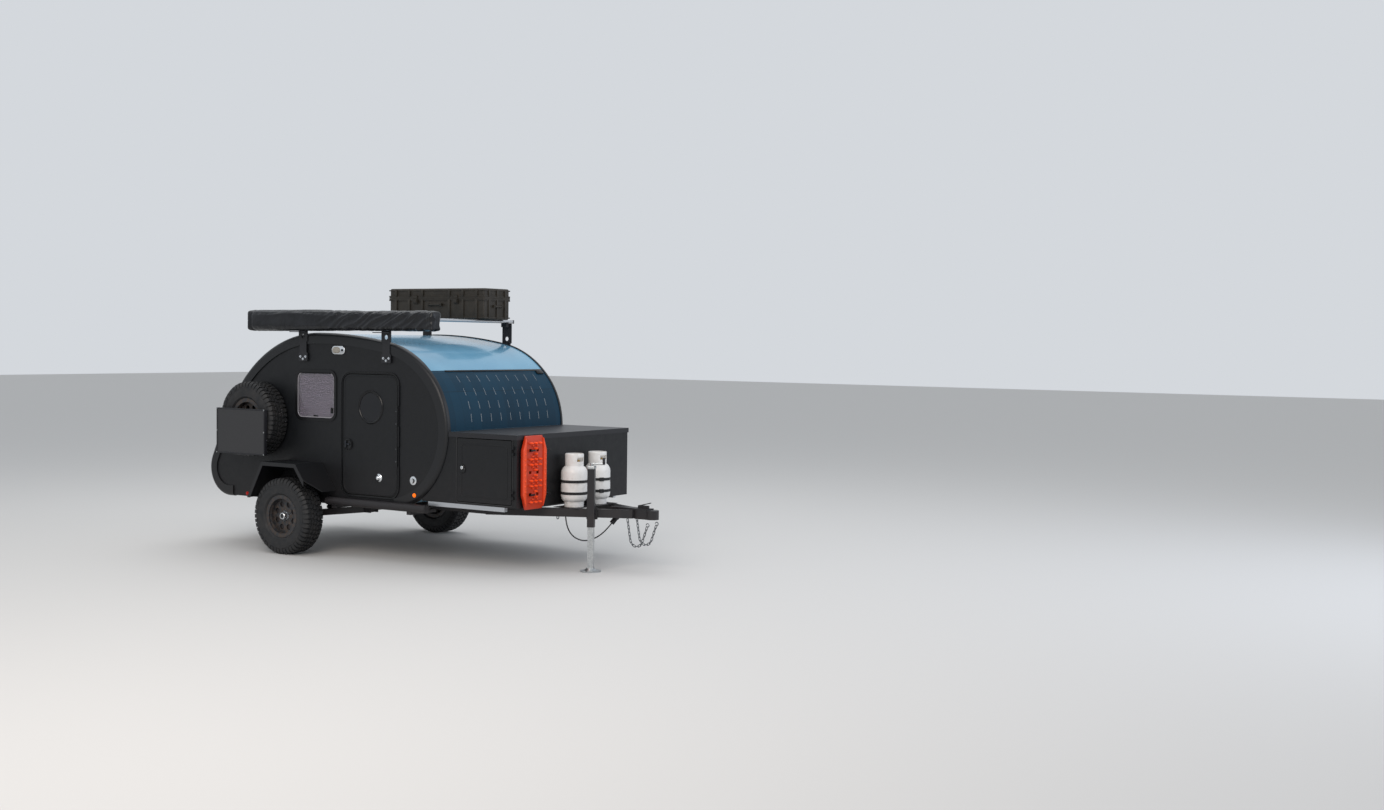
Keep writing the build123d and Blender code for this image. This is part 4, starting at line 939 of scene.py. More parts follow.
def case_rim(name, z0, z1):
    """The thick edge round the open side of the tub or the lid."""
    rim = block(name, (CASE_LOW.x + 0.002, CASE_LOW.y + 0.002, z0), (CASE_HIGH.x - 0.002, CASE_BACK - 0.002, z1))
    choose(rim, facing(2), "EDGE")
    bpy.ops.mesh.bevel(offset=0.018, segments=3, affect="EDGES")
    return hollow(rim, 2, 0.016)


def roof_case():
    low, seam = CASE_LOW, CASE_SEAM
    tub = [ribbed("hard_case_tub", low, Vector((CASE_HIGH.x, CASE_BACK, seam - 0.0006)), 1),
           case_rim("tub_rim", seam - 0.016, seam - 0.0008)]
    lid = [ribbed("hard_case_lid", Vector((low.x, low.y, seam + 0.0006)),
                  Vector((CASE_HIGH.x, CASE_BACK, LID_HIGH.z)), -1),
           case_rim("lid_rim", seam + 0.0008, seam + 0.014)]
    for part in (0.29, 0.71):
        x = low.x + (CASE_HIGH.x - low.x) * part
        latch = block("latch", (x - 0.032, low.y - 0.010, seam - 0.052),
                      (x + 0.032, low.y + 0.004, seam - 0.002))
        choose(latch, facing(1, -1))
        inset(0.008)
        pull(y=-0.005)
        tub.append(latch)
        lid.append(block("strike", (x - 0.026, low.y - 0.006, seam + 0.002),
                         (x + 0.026, low.y + 0.006, seam + 0.026)))
    tub.append(rounded(block("grip", (CASE_X - 0.085, low.y - 0.022, seam - 0.074),
                             (CASE_X + 0.085, low.y - 0.008, seam - 0.056)), 0.005, 2))
    for x in (CASE_X - 0.085, CASE_X + 0.085):
        tub.append(block("grip_ear", (x - 0.010, low.y - 0.022, seam - 0.078),
                         (x + 0.010, low.y + 0.006, seam - 0.052)))
    for x, way in ((low.x, -1), (CASE_HIGH.x, 1)):
        x0, x1 = sorted((x + way * 0.008, x + way * 0.016))
        tub.append(rounded(block("end_grip", (x0, CASE_Y - 0.060, seam - 0.090),
                                 (x1, CASE_Y + 0.060, seam - 0.072)), 0.003, 2))
        x0, x1 = sorted((x - way * 0.004, x + way * 0.016))
        for y in (CASE_Y - 0.060, CASE_Y + 0.060):
            tub.append(block("end_ear", (x0, y - 0.010, seam - 0.094), (x1, y + 0.010, seam - 0.066)))
    for x in (low.x + 0.180, CASE_X, CASE_HIGH.x - 0.180):
        for i, (owner, leaf) in enumerate(((tub, -0.022), (lid, 0.0), (tub, -0.022))):
            x0 = x + (i - 1.5) * KNUCKLE
            owner.append(rod("knuckle", (x0 + 0.0005, CASE_BACK + 0.008, seam),
                             (x0 + KNUCKLE - 0.0005, CASE_BACK + 0.008, seam), 0.006, 14))
            owner.append(block("leaf", (x0 + 0.001, CASE_BACK - 0.002, seam + leaf),
                               (x0 + KNUCKLE - 0.001, CASE_BACK + 0.004, seam + leaf + 0.022)))
    dress(shaded(joined("hard_case_tub", tub)), "trailer", CASE, "roof_case")
    dress(shaded(joined("hard_case_lid", lid)), "case_lid", CASE, "case_lid")


roof_case()


# Windows: pale bevelled edge of the acrylic, partly a painted highlight, latches, and a pleated shade inside

WINDOW = (-0.112, 0.399, 1.300, 1.750)       # rear, front, bottom, top
SHADE_PLEATS, SHADE_FOLD, SHADE_BEHIND = 22, 0.0035, 0.026


def windows():
    rear, front, bottom, top = WINDOW
    # the pale colour of this ring is partly a painted highlight round the window
    edge = ring_plate("window_edge", grown(WINDOW, -0.010), 0.058, 0.006, SIDE - SUNK, SIDE + 0.0025)
    on_both("window_edges", [shaded(edge)], ("glass_grey", FROSTED_EDGE_HIGHLIGHT))
    fittings = [rounded(plate(name, box, corner, SIDE - SUNK, SIDE + tall), 0.002) for name, box, corner, tall in (
        ("window_latch", (front - 0.050, front - 0.024, bottom + 0.055, bottom + 0.110), 0.008, 0.010),
        ("window_catch", around((rear + front) / 2, bottom + 0.025, 0.030, 0.007), 0.005, 0.006),
        ("window_hinge", (rear + 0.050, front - 0.050, top - 0.016, top - 0.003), 0.005, 0.008))]
    on_both("window_latches", fittings, TRIM)
    rear, front, bottom, top = grown(WINDOW, -0.004)
    folds = SHADE_PLEATS * 2
    for side, name in ((-1, "right"), (1, "left")):
        y = side * (SIDE - SHADE_BEHIND)
        shade = block("window_shade_" + name, (AXLE + rear, y - 0.0015, bottom), (AXLE + front, y + 0.0015, top))
        cut(shade, 2, *(bottom + (top - bottom) * step / folds for step in range(1, folds)))
        choose(shade, lambda place, way: round((place.z - bottom) / (top - bottom) * folds) % 2 == 1, "VERT")
        push(y=-side * SHADE_FOLD)
        leave()
        dress(shade, "trailer", ("glass_grey", SHADE_CLOTH))


windows()


# Doors: bulb seal round the opening, porthole ring, paddle handle, hold-back dome

DOOR = (0.510, 1.208, 0.600, 1.739)
PORTHOLE = (0.864, 1.432)                    # x, z; so are the next two
HANDLE = (0.580, 1.070)
HOLD_BACK = (0.975, 0.769)
PORTHOLE_RING = [(0.136, -0.001), (0.136, 0.003), (0.140, 0.007), (0.146, 0.0105), (0.152, 0.0105),
                 (0.158, 0.006), (0.161, 0.002), (0.161, -0.001)]
HANDLE_BOWL = [(0.0, 0.001), (0.030, 0.001), (0.038, 0.003), (0.041, 0.007), (0.045, 0.007), (0.045, 0.0)]
HANDLE_LOCK = [(0.0, 0.007), (0.006, 0.007), (0.0075, 0.005), (0.0075, 0.0)]
DOME = [(0.0, 0.032), (0.009, 0.031), (0.016, 0.028), (0.021, 0.022), (0.023, 0.015), (0.030, 0.009),
        (0.039, 0.006), (0.041, 0.003), (0.041, -0.001)]


def doors():
    rear, front, bottom, top = DOOR
    seal = ring_plate("door_seal", grown(DOOR, 0.026), 0.118, 0.010, SIDE, SIDE + 0.009, 10)
    on_both("door_seals", [shaded(rounded(seal, 0.003, 2, 50))], TRIM)
    bead = ring_plate("door_bead", (rear + 0.010, front - 0.012, bottom + 0.010, top - 0.010), 0.084, 0.010,
                      SIDE - SUNK, SIDE + 0.003, 10)
    on_each("door_edge_bead", [shaded(rounded(bead, 0.0012, 1, 50))], "door", BODY)
    ring = turned("porthole_ring", here(PORTHOLE[0], -SIDE, PORTHOLE[1]), -LEFT, PORTHOLE_RING, 64, True)
    x, z = HANDLE
    base = rounded(plate("handle_plate", around(x, z, 0.054, 0.054), 0.0486, SIDE - SUNK, SIDE + 0.008, 10),
                   0.003, 2, 50)
    bowl = turned("handle_bowl", here(x + 0.006, -SIDE - 0.0075, z), -LEFT, HANDLE_BOWL, 40)
    on_each("door_fitting", [shaded(ring), shaded(base), shaded(bowl)], "door", TRIM, "door_fittings")
    paddle = plate("handle_paddle", around(x - 0.023, z, 0.011, 0.036), 0.009, SIDE + 0.006, SIDE + 0.022)
    choose(paddle, facing(1, -1))
    size_by(0.8, 1, 0.85, here(x - 0.023, -SIDE, z))
    lever = plate("handle_lever", around(x - 0.003, z, 0.027, 0.009), 0.008, SIDE + 0.006, SIDE + 0.016)
    barrel = turned("handle_lock", here(x + 0.022, -SIDE - 0.006, z + 0.028), -LEFT, HANDLE_LOCK, 20)
    hands = [shaded(rounded(piece, 0.0025, 2, 40), 50) for piece in (paddle, lever)]
    x, z = HOLD_BACK
    dome = turned("hold_back", here(x, -SIDE, z), -LEFT, DOME, 40)
    slit = block("hold_back_slit", here(x - 0.020, -SIDE - 0.027, z - 0.003),
                 here(x + 0.020, -SIDE - 0.012, z + 0.003))
    on_each("door_hold_back", [shaded(dome, 50)], "door", BRIGHT)
    on_each("door_paddle", hands + [shaded(barrel)], "door", ("steel_zinc", DARK_CHROME))
    on_each("hold_back_slot", [slit], "door", TRIM)


doors()


# Porch lamps: bright oval body, a ribbed clear lens on its rear part and its switch on the front part

PORCH = (0.449, 1.965)
SWITCH = [(0.0, 0.010), (0.008, 0.010), (0.011, 0.007), (0.012, 0.0), (0.018, 0.0), (0.018, -0.002)]


def porch_lamps():
    x, z = PORCH
    body = rounded(plate("porch_body", around(x, z, 0.086, 0.042), 0.0415, SIDE - SUNK, SIDE + 0.014, 10),
                   0.006, 3, 50)
    lens = plate("porch_lens", around(x - 0.022, z, 0.052, 0.032), 0.0315, SIDE + 0.010, SIDE + 0.022, 10)
    choose(lens, facing(1, -1))
    size_by(0.84, 1, 0.72, here(x - 0.022, 0, z))
    push(y=-0.004)
    switch = turned("porch_switch", here(x + 0.055, -SIDE - 0.012, z), -LEFT, SWITCH, 24)
    on_both("porch_lamp_bodies", [shaded(body)], BRIGHT)
    on_both("porch_lamp_lenses", [shaded(rounded(lens, 0.004, 3, 25), 60)], ("lens_clear", CLEAR_LENS),
            "porch_lamps")
    on_both("porch_switches", [shaded(switch)], TRIM)


porch_lamps()


# Bolts: three in each roof bracket, and the camp table's raised rim with its screws

BRACKET_XS = (-0.014, 1.075)
BRACKET_FACE = BAND + 0.008
BRACKET_BOLTS = ((-0.034, 1.896), (0.034, 1.896), (0.0, 1.874))      # across, height
TABLE_LOW, TABLE_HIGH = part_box("camp_table")
TABLE_TOP = (TABLE_LOW.x - AXLE, TABLE_HIGH.x - AXLE, 0.936, TABLE_HIGH.z)
TABLE_FACE = -TABLE_LOW.y


def bolt(place, radius, tall):
    """A hexagon head on its washer, facing outward on the right side."""
    washer = rod("washer", place + LEFT * 0.001, place - LEFT * 0.0018, radius * 1.35, 20)
    head = rod("bolt_head", place - LEFT * 0.0015, place - LEFT * tall, radius, 6)
    choose(head, facing(1, -1))
    inset(radius * 0.18)
    push(y=-radius * 0.12)
    leave()
    return joined("bolt", [washer, head])


def bracket_bolts():
    bolts = [bolt(here(x + across, -BRACKET_FACE, z), 0.009, 0.009)
             for x in BRACKET_XS for across, z in BRACKET_BOLTS]
    on_both("bracket_bolts", bolts, BRIGHT)


def camp_table():
    rim = ring_plate("table_rim", grown(TABLE_TOP, 0.003), 0.004, 0.014, TABLE_FACE - 0.036,
                     TABLE_FACE + 0.003, 2)
    dress(shaded(rounded(rim, 0.0015, 1, 50)), "camp_table", ("table_grey", FRAME_COAT))
    x0, x1, z0, z1 = grown(TABLE_TOP, -0.004)
    screws = [bolt(here(x, -TABLE_FACE - 0.003, z), 0.005, 0.004)
              for x in (x0, x1) for z in (z0, (z0 + z1) / 2, z1)]
    dress(joined("table_screws", screws), "camp_table", ZINCED)


bracket_bolts()
camp_table()


# Solar sheet: silver dashes between its cells, the strip along its top edge with its junction box

SOLAR_LOW, SOLAR_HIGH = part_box("solar_sheet")
DASH_ROWS, DASH_COLUMNS = (0.14, 0.36, 0.58, 0.80), 9      # rows: parts of the height, from the top
DASH_LENGTH, DASH_HALF = 0.074, 0.0016
DASH_FIRST, DASH_PITCH = -0.525, 0.144       # first column from the middle, and from one to the next


def on_nose(y, z):
    """The place on the solar sheet at a height, seen from ahead."""
    return surface_at("solar_sheet", (SOLAR_HIGH.x + 1.0, y, z), -AHEAD)[0]


def down_nose(y, upper, lower, midway=False):
    """A matrix that lays X down the solar sheet, from the upper of two heights or from midway between them."""
    top, foot = on_nose(y, upper), on_nose(y, lower)
    return pointing((top + foot) / 2 if midway else top, foot - top, LEFT)


def solar_marks():
    tall = SOLAR_HIGH.z - SOLAR_LOW.z
    mark = block("dash", (-DASH_LENGTH / 2, -DASH_HALF, -0.0015), (DASH_LENGTH / 2, DASH_HALF, 0.0012))
    marks = []
    for z in (SOLAR_HIGH.z - tall * row for row in DASH_ROWS):
        for y in (DASH_FIRST + DASH_PITCH * column for column in range(DASH_COLUMNS)):
            lay = down_nose(y, z + DASH_LENGTH * 0.4, z - DASH_LENGTH * 0.4, midway=True)
            marks.append(placed(mark, "dash", lay))
    bpy.data.objects.remove(mark)
    dress(joined("solar_dashes", marks), "trailer", ("rail_silver", ZINC))
    strip = rounded(block("strip", (-0.004, SOLAR_LOW.y + 0.19, -0.003),
                          (0.016, SOLAR_HIGH.y - 0.02, 0.006)), 0.002)
    junction = rounded(block("junction", (0.016, SOLAR_HIGH.y - 0.13, -0.003),
                             (0.062, SOLAR_HIGH.y - 0.03, 0.015)), 0.006)
    lay = down_nose(0.0, SOLAR_HIGH.z - 0.003, SOLAR_HIGH.z - 0.045)
    parts = [used(strip, "strip", lay), used(junction, "junction", lay)]
    dress(shaded(joined("solar_top_strip", parts)), "trailer", TRIM)


solar_marks()


# Hubs: bright cap with a dark plug, six nuts on each wheel, and a brake drum behind each disc

DISC_OUT = 0.042                             # the disc's face outboard of the wheel's middle
NUT_CIRCLE = 0.048
DRUM = [(0.0635, 0.0300), (0.136, 0.0300), (0.140, 0.026), (0.140, -0.030), (0.134, -0.034), (0.0635, -0.034)]
NUT = [(0.0, 0.022), (0.004, 0.0215), (0.0085, 0.017), (0.0095, 0.004), (0.0125, 0.002), (0.0125, -0.001)]
HUB_CAP = [(0.0235, 0.0435), (0.029, 0.0435), (0.0325, 0.040), (0.0355, 0.012), (0.0365, 0.003), (0.0400, 0.002),
           (0.0400, -0.001)]
HUB_PLUG = [(0.0, 0.0415), (0.0205, 0.042), (0.0238, 0.0425), (0.0238, 0.039)]


def hub(name, centre, side, body, cap=True):
    out = LEFT * side
    face = centre + out * DISC_OUT
    nuts = []
    for i in range(6):
        angle = math.radians(60 * i + 30)
        place = face + Vector((math.cos(angle) * NUT_CIRCLE, 0, math.sin(angle) * NUT_CIRCLE))
        nuts.append(turned("wheel_nut", place, out, NUT, 6))
    dress(shaded(joined(name + "_nuts", nuts), 30), body, WEATHERED)
    if cap:
        dress(shaded(turned(name + "_drum", centre, out, DRUM, 48, True)), body, ("frame_black", FRAME_COAT))
        dress(shaded(turned(name, face, out, HUB_CAP, 40)), body, BRIGHT)
        dress(shaded(turned(name + "_plug", face, out, HUB_PLUG, 32)), body, SOFT)


hub("hub_bright_right", WHEEL_R, -1, "wheel_right")
hub("hub_bright_left", WHEEL_L, 1, "wheel_left")
hub("spare_nuts", SPARE, -1, "trailer", cap=False)


# Gas bottles: brass valves with black hand wheels, and two straps each that run to the post between them

STRAP_RISES, STRAP_HALF, BUCKLE_TURN = (0.126, 0.234), 0.0125, math.radians(-35)
VALVE = [(0.0, 0.450), (0.007, 0.450), (0.007, 0.430), (0.014, 0.428), (0.014, 0.404), (0.0205, 0.400),
         (0.0205, 0.386)]
VALVE_WHEEL = [(0.0, 0.467), (0.012, 0.467), (0.016, 0.463), (0.026, 0.465), (0.029, 0.461), (0.029, 0.454),
               (0.026, 0.451), (0.0, 0.449)]
OUTLET_RISE = 0.414


def bottle_fittings():
    stem = turned("valve", BOTTLE_FOOT, UP, VALVE, 24)
    root = BOTTLE_FOOT + UP * OUTLET_RISE
    outlet = rod("outlet", root, root + AHEAD * 0.042, 0.0105, 16)
    nut = rod("outlet_nut", root + AHEAD * 0.034, root + AHEAD * 0.053, 0.0165, 6)
    on_both("bottle_valves", [shaded(stem), outlet, nut], ("steel_zinc", BRASS))
    wheel = turned("valve_wheel", BOTTLE_FOOT, UP, VALVE_WHEEL, 10)
    on_both("valve_wheels", [shaded(wheel)], TRIM)
    inner, outer = BOTTLE_RADIUS - 0.001, BOTTLE_RADIUS + 0.0022
    turn = Vector((math.cos(BUCKLE_TURN), math.sin(BUCKLE_TURN), 0))
    straps = []
    for z in STRAP_RISES:
        low, high = z - STRAP_HALF, z + STRAP_HALF
        section = [(inner, low), (outer, low), (outer, high), (inner, high)]
        band = turned("strap", BOTTLE_FOOT, UP, section, 56, True)
        buckle = rounded(block("buckle", (-0.022, -0.017, -0.004), (0.022, 0.017, 0.010)), 0.003)
        at = BOTTLE_FOOT + turn * BOTTLE_RADIUS + UP * z
        buckle = used(buckle, "buckle", pointing(at, (turn.y, -turn.x, 0), -UP))
        link = block("strap_link", (BOTTLE_X - 0.030, 0.010, TRAY_TOP + low),
                     (BOTTLE_X - 0.027, BOTTLE_Y - BOTTLE_RADIUS + 0.012, TRAY_TOP + high))
        straps += [shaded(band), buckle, link]
    on_both("bottle_straps", straps, ("trim_black", WEBBING))


bottle_fittings()


# Pins of the recovery board and the seats of two more beside it, on the front of the tongue box

def board_pins():
    parts = []
    for z in (SLOT_RISES[0], SLOT_RISES[-1]):
        for y, reach in ((BOARD_Y - SLOT_Y, 0.060), (BOARD_HIGH.y + 0.050, 0.022)):
            root = Vector((BOARD_BACK - 0.0125, y, z))
            tip = root + AHEAD * reach
            parts.append(rod("pin", root, tip, 0.008, 16))
            parts.append(rod("pin_seat", root, root + AHEAD * 0.006, 0.022, 24))
            parts.append(rounded(block("pin_handle", tip - Vector((0.004, 0.030, 0.009)),
                                       tip + Vector((0.010, 0.030, 0.009))), 0.005))
    dress(shaded(joined("board_pins", parts)), "trailer", TRIM)


board_pins()


# Tongue box: gasket round each door, lock barrel in its dark ring, a pressed panel in the door's face

BOX_DOOR = (1.930, 2.560, 0.615, 1.188)
BOX_SIDE = -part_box("box_cap")[0].y - 0.008
BOX_FACE = BOX_SIDE + 0.005
LOCK_RING = [(0.016, 0.010), (0.026, 0.010), (0.031, 0.006), (0.032, -0.001), (0.016, -0.001)]
LOCK_BARREL = [(0.0, 0.0135), (0.012, 0.0135), (0.0162, 0.011), (0.0162, -0.001)]


def box_doors():
    rear, front, bottom, top = BOX_DOOR
    gasket = ring_plate("box_gasket", grown(BOX_DOOR, 0.013), 0.020, 0.007, BOX_SIDE - SUNK,
                        BOX_SIDE + 0.0035, 4)
    on_both("box_gaskets", [gasket], SOFT)
    pressing = ring_plate("door_pressing", grown(BOX_DOOR, -0.045), 0.030, 0.012, BOX_FACE - SUNK,
                          BOX_FACE + 0.0025, 4)
    on_each("door_pressing", [shaded(rounded(pressing, 0.0015, 1, 40))], "box_door", BODY)
    place = here(rear + 0.062, -BOX_FACE, (bottom + top) / 2 + 0.02)
    ring = turned("lock_ring", place, -LEFT, LOCK_RING, 36, True)
    barrel = turned("lock_barrel", place, -LEFT, LOCK_BARREL, 28)
    key = block("key_way", place + Vector((-0.0014, -0.0139, -0.006)), place + Vector((0.0014, -0.012, 0.006)))
    on_each("box_lock", [shaded(barrel)], "box_door", BRIGHT)
    on_each("box_lock_ring", [shaded(ring), key], "box_door", TRIM)


box_doors()


# Jack: bright cap and crank over its tube, and a black grip

JACK_PLACE = here(3.020, -0.290, 0.0)
JACK_TURN = math.radians(25.0)
CRANK_GRIP = [(0.0, 0.0), (0.0118, 0.0), (0.0132, 0.004), (0.0126, 0.022), (0.0132, 0.041), (0.0110, 0.0458),
              (0.0, 0.0458)]


def jack_top():
    along = Vector((math.cos(JACK_TURN), math.sin(JACK_TURN), 0))
    lay = pointing(JACK_PLACE, along, UP.cross(along))
    cap = rounded(block("jack_cap", (-0.0375, -0.0375, 0.9285), (0.0375, 0.0375, 0.9600)), 0.008, 3)
    boss = rod("crank_boss", (0, 0, 0.957), (0, 0, 0.9815), 0.0125, 20)
    arm = rod("crank_arm", (-0.006, 0, 0.976), (0.1195, 0, 0.976), 0.0082, 16)
    made = joined("jack_bright", [cap, boss, arm])
    dress(shaded(used(made, "jack_bright", lay)), "trailer", ZINCED)
    grip = turned("crank_grip", (0.112, 0, 0.985), UP, CRANK_GRIP, 24)
    dress(shaded(used(grip, "crank_grip", lay)), "trailer", SOFT)


jack_top()


# Safety chains: round-wire links along the course of the part's flat ones, and their hooks

CHAIN_PITCH, CHAIN_WIRE, CHAIN_WIDE, CHAIN_LINKS = 0.0312, 0.007, 0.025, 17
CHAIN_ROOT = here(3.270, 0.074, 0.485 - 0.00815)
CHAIN_BEND = (-80.0, 150.0, 0.36)            # first angle, how far it turns, and over what part it does so
TIE_X = 2.690                                # of the ring under the right tongue rail


def chain_course():
    """Where each link of the left chain lies, with its direction and the flat of its link."""
    first, turn, part = CHAIN_BEND
    place, rows = CHAIN_ROOT, []
    for i in range(CHAIN_LINKS):
        angle = math.radians(first + turn * max(0.0, min(1.0, (i / (CHAIN_LINKS - 1) - part) / part)))
        step = Vector((math.cos(angle), 0, math.sin(angle))) * (CHAIN_PITCH - 0.0006)
        rows.append((place + step / 2, step, LEFT if i % 2 else step.cross(LEFT)))
        place = place + step
    return rows


def safety_chains():
    deselect()
    bpy.ops.mesh.primitive_torus_add(major_radius=(CHAIN_WIDE - CHAIN_WIRE) / 2, minor_radius=CHAIN_WIRE / 2,
                                     major_segments=20, minor_segments=8)
    link = applied("chain_link")
    for way in (1, -1):
        choose(link, lambda place, normal: place.x * way > 1e-5, "VERT")
        push(x=way * (CHAIN_PITCH + 2 * CHAIN_WIRE - CHAIN_WIDE) / 2)
    leave()
    links = [placed(link, "link", pointing(*row)) for row in chain_course()]
    bpy.data.objects.remove(link)
    on_both("round_chains", [shaded(joined("round_chains", links), 60)], WEATHERED, "safety_chains")


def open_ring(name, gap):
    """A round ring with a gap, given as a test: its ends are closed."""
    deselect()
    bpy.ops.mesh.primitive_torus_add(major_radius=0.0155, minor_radius=0.0042, major_segments=28,
                                     minor_segments=10)
    made = applied(name)
    choose(made, gap, "VERT")
    bpy.ops.mesh.delete(type="VERT")
    bpy.ops.mesh.select_all(action="SELECT")
    bpy.ops.mesh.fill_holes(sides=0)
    tidy(made)
    return made


def hooks():
    last, step, flat = chain_course()[-1]
    hook = open_ring("chain_hook", lambda place, way: place.x < -0.001 and 0.001 < place.y < 0.016)
    lay = pointing(last + step.normalized() * 0.030, step, flat)
    on_both("chain_hooks", [shaded(used(hook, "chain_hook", lay))], WEATHERED)
    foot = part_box("tongue_rails")[0].z
    # the outer edge of the rail, found from outside in steps of 10 mm
    y = next(y for y in (-0.60 + 0.01 * i for i in range(40))
             if surface_at("tongue_rails", here(TIE_X, y, 0.0), UP)[0].z > foot - 0.001)
    ring = open_ring("tie_ring", lambda place, way: place.y > 0.0125)
    lay = pointing(here(TIE_X, y + 0.030, foot - 0.0095), LEFT, UP)
    dress(shaded(used(ring, "tie_ring", lay)), "trailer", WEATHERED)


safety_chains()
hooks()


# Rear: handle of the hatch, seats of the round lamps

LAMP_Y, LAMP_Z = 0.620, 0.588
LAMP_SEAT = [(0.0438, 0.010), (0.052, 0.009), (0.056, 0.004), (0.056, -0.001), (0.0438, -0.001)]


def from_behind(node, y, z):
    """The place and direction of a node's surface at a height, seen from behind."""
    return surface_at(node, (-5.0, y, z), AHEAD)


def tail_lay(node, y, z):
    """A matrix on the rear of a node: X up the surface, Z out of it."""
    at, way = from_behind(node, y, z)
    up = LEFT.cross(way)
    return pointing(at, up, -LEFT) if up.z > 0 else pointing(at, -up, LEFT)


def rear_parts():
    lay = tail_lay("rear_hatch", 0.0, 0.735)
    base = rounded(block("base", (-0.034, -0.080, -0.004), (0.034, 0.080, 0.009)), 0.007, 3)
    bar = rounded(block("bar", (-0.010, -0.056, 0.006), (0.010, 0.056, 0.019)), 0.005, 3)
    dress(shaded(used(base, "hatch_handle", lay)), "rear_hatch", TRIM)
    dress(shaded(used(bar, "hatch_handle_bar", lay)), "rear_hatch", BRIGHT)
    seats = [shaded(turned("lamp_seat", (from_behind("floor_pan", y + 0.075, LAMP_Z)[0].x, y, LAMP_Z), -AHEAD,
                           LAMP_SEAT, 40, True)) for y in (-LAMP_Y, LAMP_Y)]
    dress(joined("rear_lamp_seats", seats), "trailer", SOFT)


rear_parts()


# Ply linings inside the roof skin and the rear hatch, the hatch's rubber edges and its hinge's screws

HATCH_LOW, HATCH_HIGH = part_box("rear_hatch")
HATCH_TOP = HATCH_HIGH.x                     # rear edge of the hinge
HATCH_CENTRE = here(-0.50, 0.0, 1.00)
HATCH_STEPS, EDGE_WIDE = 44, 0.016
SCREW = [(0.0, 0.0024), (0.0034, 0.0022), (0.0050, 0.0008), (0.0050, -0.001)]
SCREW_FIRST, SCREW_SPAN, HATCH_SCREWS = -0.67, 1.34, 14
ROOF_CENTRE = here(0.55, 0.0, 1.25)
ROOF_FIRST, ROOF_LAST, ROOF_STEPS = -38.0, 122.0, 54        # degrees up from straight ahead
ROOF_HALF = 0.826
SHEET = 0.004                                # thickness of ply and rubber


def hatch_angle(place):
    way = place - HATCH_CENTRE
    return math.degrees(math.atan2(way.z, way.x)) % 360.0


def hatch_edges():
    start_at = hatch_angle(surface_at("rear_hatch", (HATCH_TOP - 0.060, 0.0, 5.0), -UP)[0])
    end_at = hatch_angle(from_behind("rear_hatch", 0.0, HATCH_LOW.z + 0.004)[0])
    places = course("rear_hatch", HATCH_CENTRE, start_at, end_at, HATCH_STEPS, -0.001, outside=True)
    made = rounded(curved_sheet("hatch_edge", places, HATCH_LOW.y + 0.001, EDGE_WIDE, SHEET, HATCH_CENTRE),
                   0.001, 1, 50)
    half = HATCH_HIGH.y - 0.002 - EDGE_WIDE
    foot = rounded(block("foot", (-0.008, -half, -0.001), (0.008, half, 0.003)), 0.001, 1, 50)
    foot = used(foot, "foot", tail_lay("rear_hatch", 0.0, HATCH_LOW.z + 0.012))
    dress(shaded(joined("hatch_edges", [made, twin(made, "other_edge"), foot])), "rear_hatch", SOFT)
    end_at = hatch_angle(from_behind("rear_hatch", 0.0, HATCH_LOW.z + 0.040)[0])
    places = course("rear_hatch", HATCH_CENTRE, start_at + 3.0, end_at, HATCH_STEPS, -0.001)
    half = HATCH_HIGH.y - 0.030
    lining = curved_sheet("hatch_lining", places, -half, 2 * half, SHEET, HATCH_CENTRE, -1)
    dress(shaded(lining, 30), "rear_hatch", WOOD)


def hatch_screws():
    screw = turned("screw", (0, 0, 0), UP, SCREW, 12)
    for node, x, body in (("rear_hatch", HATCH_TOP - 0.034, "rear_hatch"),
                          ("roof_shell", HATCH_TOP + 0.010, "trailer")):
        rows = []
        for i in range(HATCH_SCREWS):
            at, way = surface_at(node, (x, SCREW_FIRST + SCREW_SPAN * i / (HATCH_SCREWS - 1), 5.0), -UP)
            rows.append(placed(screw, "screw", pointing(at, LEFT, way.cross(LEFT))))
        dress(shaded(joined(node + "_screws", rows)), body, ZINCED)
    bpy.data.objects.remove(screw)


def headliner():
    places = course("roof_shell", ROOF_CENTRE, ROOF_FIRST, ROOF_LAST, ROOF_STEPS, -0.002)
    made = curved_sheet("headliner", places, -ROOF_HALF, 2 * ROOF_HALF, SHEET, ROOF_CENTRE, -1)
    dress(shaded(made, 30), "trailer", WOOD)


hatch_edges()
hatch_screws()
headliner()


# Door hinges: a row of screws in each leaf, on the door and on the body. Crossbars: a black cap on each end

HINGE_X, HINGE_SCREWS = 1.211, 9
HINGE_SCREW = [(0.0, 0.0022), (0.0028, 0.0020), (0.0042, 0.0008), (0.0042, -0.001)]
BAR_LOW, BAR_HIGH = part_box("cross_bars")


def screw_row(node, x):
    """Screws down a leaf of the right door's hinge."""
    low, tall = DOOR[2] + 0.10, DOOR[3] - DOOR[2] - 0.20
    places = [surface_at(node, here(x, -3.0, low + tall * i / (HINGE_SCREWS - 1)), LEFT)[0]
              for i in range(HINGE_SCREWS)]
    return [shaded(joined("screws", [turned("hinge_screw", at, -LEFT, HINGE_SCREW, 12) for at in places]))]


def bar_caps():
    caps = []
    for x in (BAR_LOW.x + 0.029, BAR_HIGH.x - 0.029):
        for y, way in ((BAR_LOW.y, -1), (BAR_HIGH.y, 1)):
            y0, y1 = sorted((y - way * 0.008, y + way * 0.004))
            caps.append(rounded(block("bar_cap", (x - 0.0305, y0, BAR_LOW.z - 0.0015),
                                      (x + 0.0305, y1, BAR_HIGH.z + 0.0015)), 0.003))
    dress(shaded(joined("bar_caps", caps)), "trailer", TRIM)


on_each("door_hinge_screws", screw_row("door_right", HINGE_X - 0.015), "door", WEATHERED)
on_both("body_hinge_screws", screw_row("cabin_side_right", HINGE_X + 0.017), WEATHERED)
bar_caps()


# Camera, floor and light

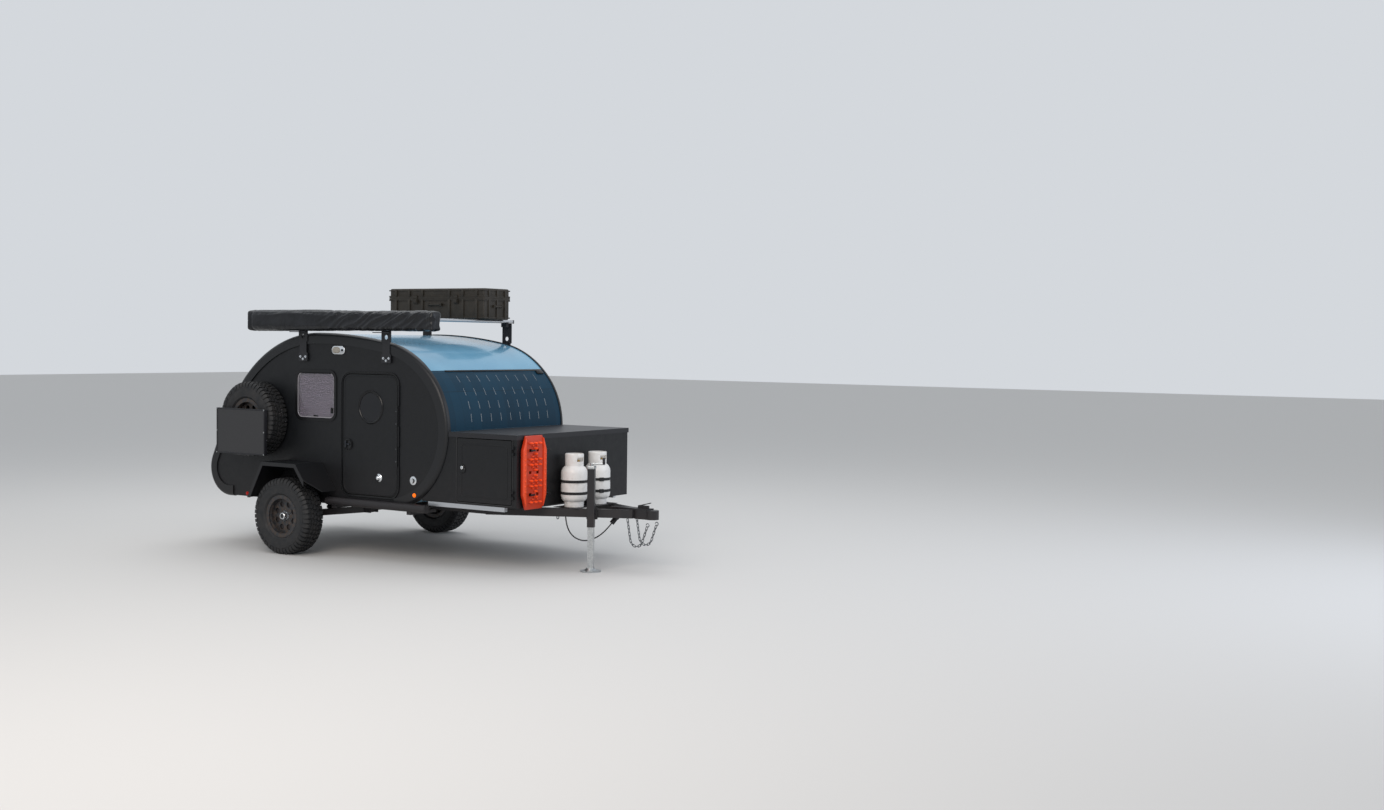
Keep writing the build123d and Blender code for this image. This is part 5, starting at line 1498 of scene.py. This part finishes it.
CAMERA_PLACE = here(11.2843, -11.6655, 2.0906)
CAMERA_YAW, CAMERA_PITCH, CAMERA_ROLL = 0.5644, -0.0407, 0.0129
FOCAL_PIXELS, PHOTO_WIDTH = 1560.0, 1384.0
SENSOR = 36.0


def photo_camera():
    """The photograph's camera, fitted to where the trailer's parts stand in it."""
    data = bpy.data.cameras.new("photo_camera")
    data.sensor_width = SENSOR
    data.lens = SENSOR * FOCAL_PIXELS / PHOTO_WIDTH
    data.clip_end = 200.0
    made = bpy.data.objects.new("photo_camera", data)
    bpy.context.scene.collection.objects.link(made)
    turn = Matrix.Rotation(CAMERA_YAW, 3, "Z") @ Matrix.Rotation(math.pi / 2 + CAMERA_PITCH, 3, "X")
    turn = turn @ Matrix.Rotation(CAMERA_ROLL, 3, "Z")
    made.matrix_world = Matrix.Translation(CAMERA_PLACE) @ turn.to_4x4()
    bpy.context.scene.camera = made


def floor_and_sky():
    deselect()
    bpy.ops.mesh.primitive_plane_add(size=120.0)
    floor = applied("studio_floor")
    floor.data.materials.append(finish("studio_floor_paint", "c9c8c6", 0.9))
    world = bpy.data.worlds.new("studio_air")
    bpy.context.scene.world = world
    world.use_nodes = True
    air = world.node_tree.nodes["Background"].inputs
    air["Color"].default_value = linear("d9dde2")
    air["Strength"].default_value = 0.95


def soft_lamp(name, place, aim, size, power, colour):
    """A large square lamp that points from its place to its aim."""
    data = bpy.data.lights.new(name, "AREA")
    data.size = size
    data.energy = power
    data.color = linear(colour)[:3]
    made = bpy.data.objects.new(name, data)
    bpy.context.scene.collection.objects.link(made)
    way = Vector(aim) - Vector(place)
    made.matrix_world = Matrix.Translation(place) @ way.to_track_quat("-Z", "Y").to_matrix().to_4x4()


photo_camera()
floor_and_sky()
soft_lamp("key_light", (4.0, -9.0, 6.5), UP, 6.0, 480.0, "fff4ea")
soft_lamp("fill_light", (10.0, 3.0, 5.0), UP, 7.0, 260.0, "e6efff")
soft_lamp("top_light", (-2.0, 1.0, 9.0), UP, 8.0, 300.0, "ffffff")
bpy.context.scene.view_settings.view_transform = "Standard"
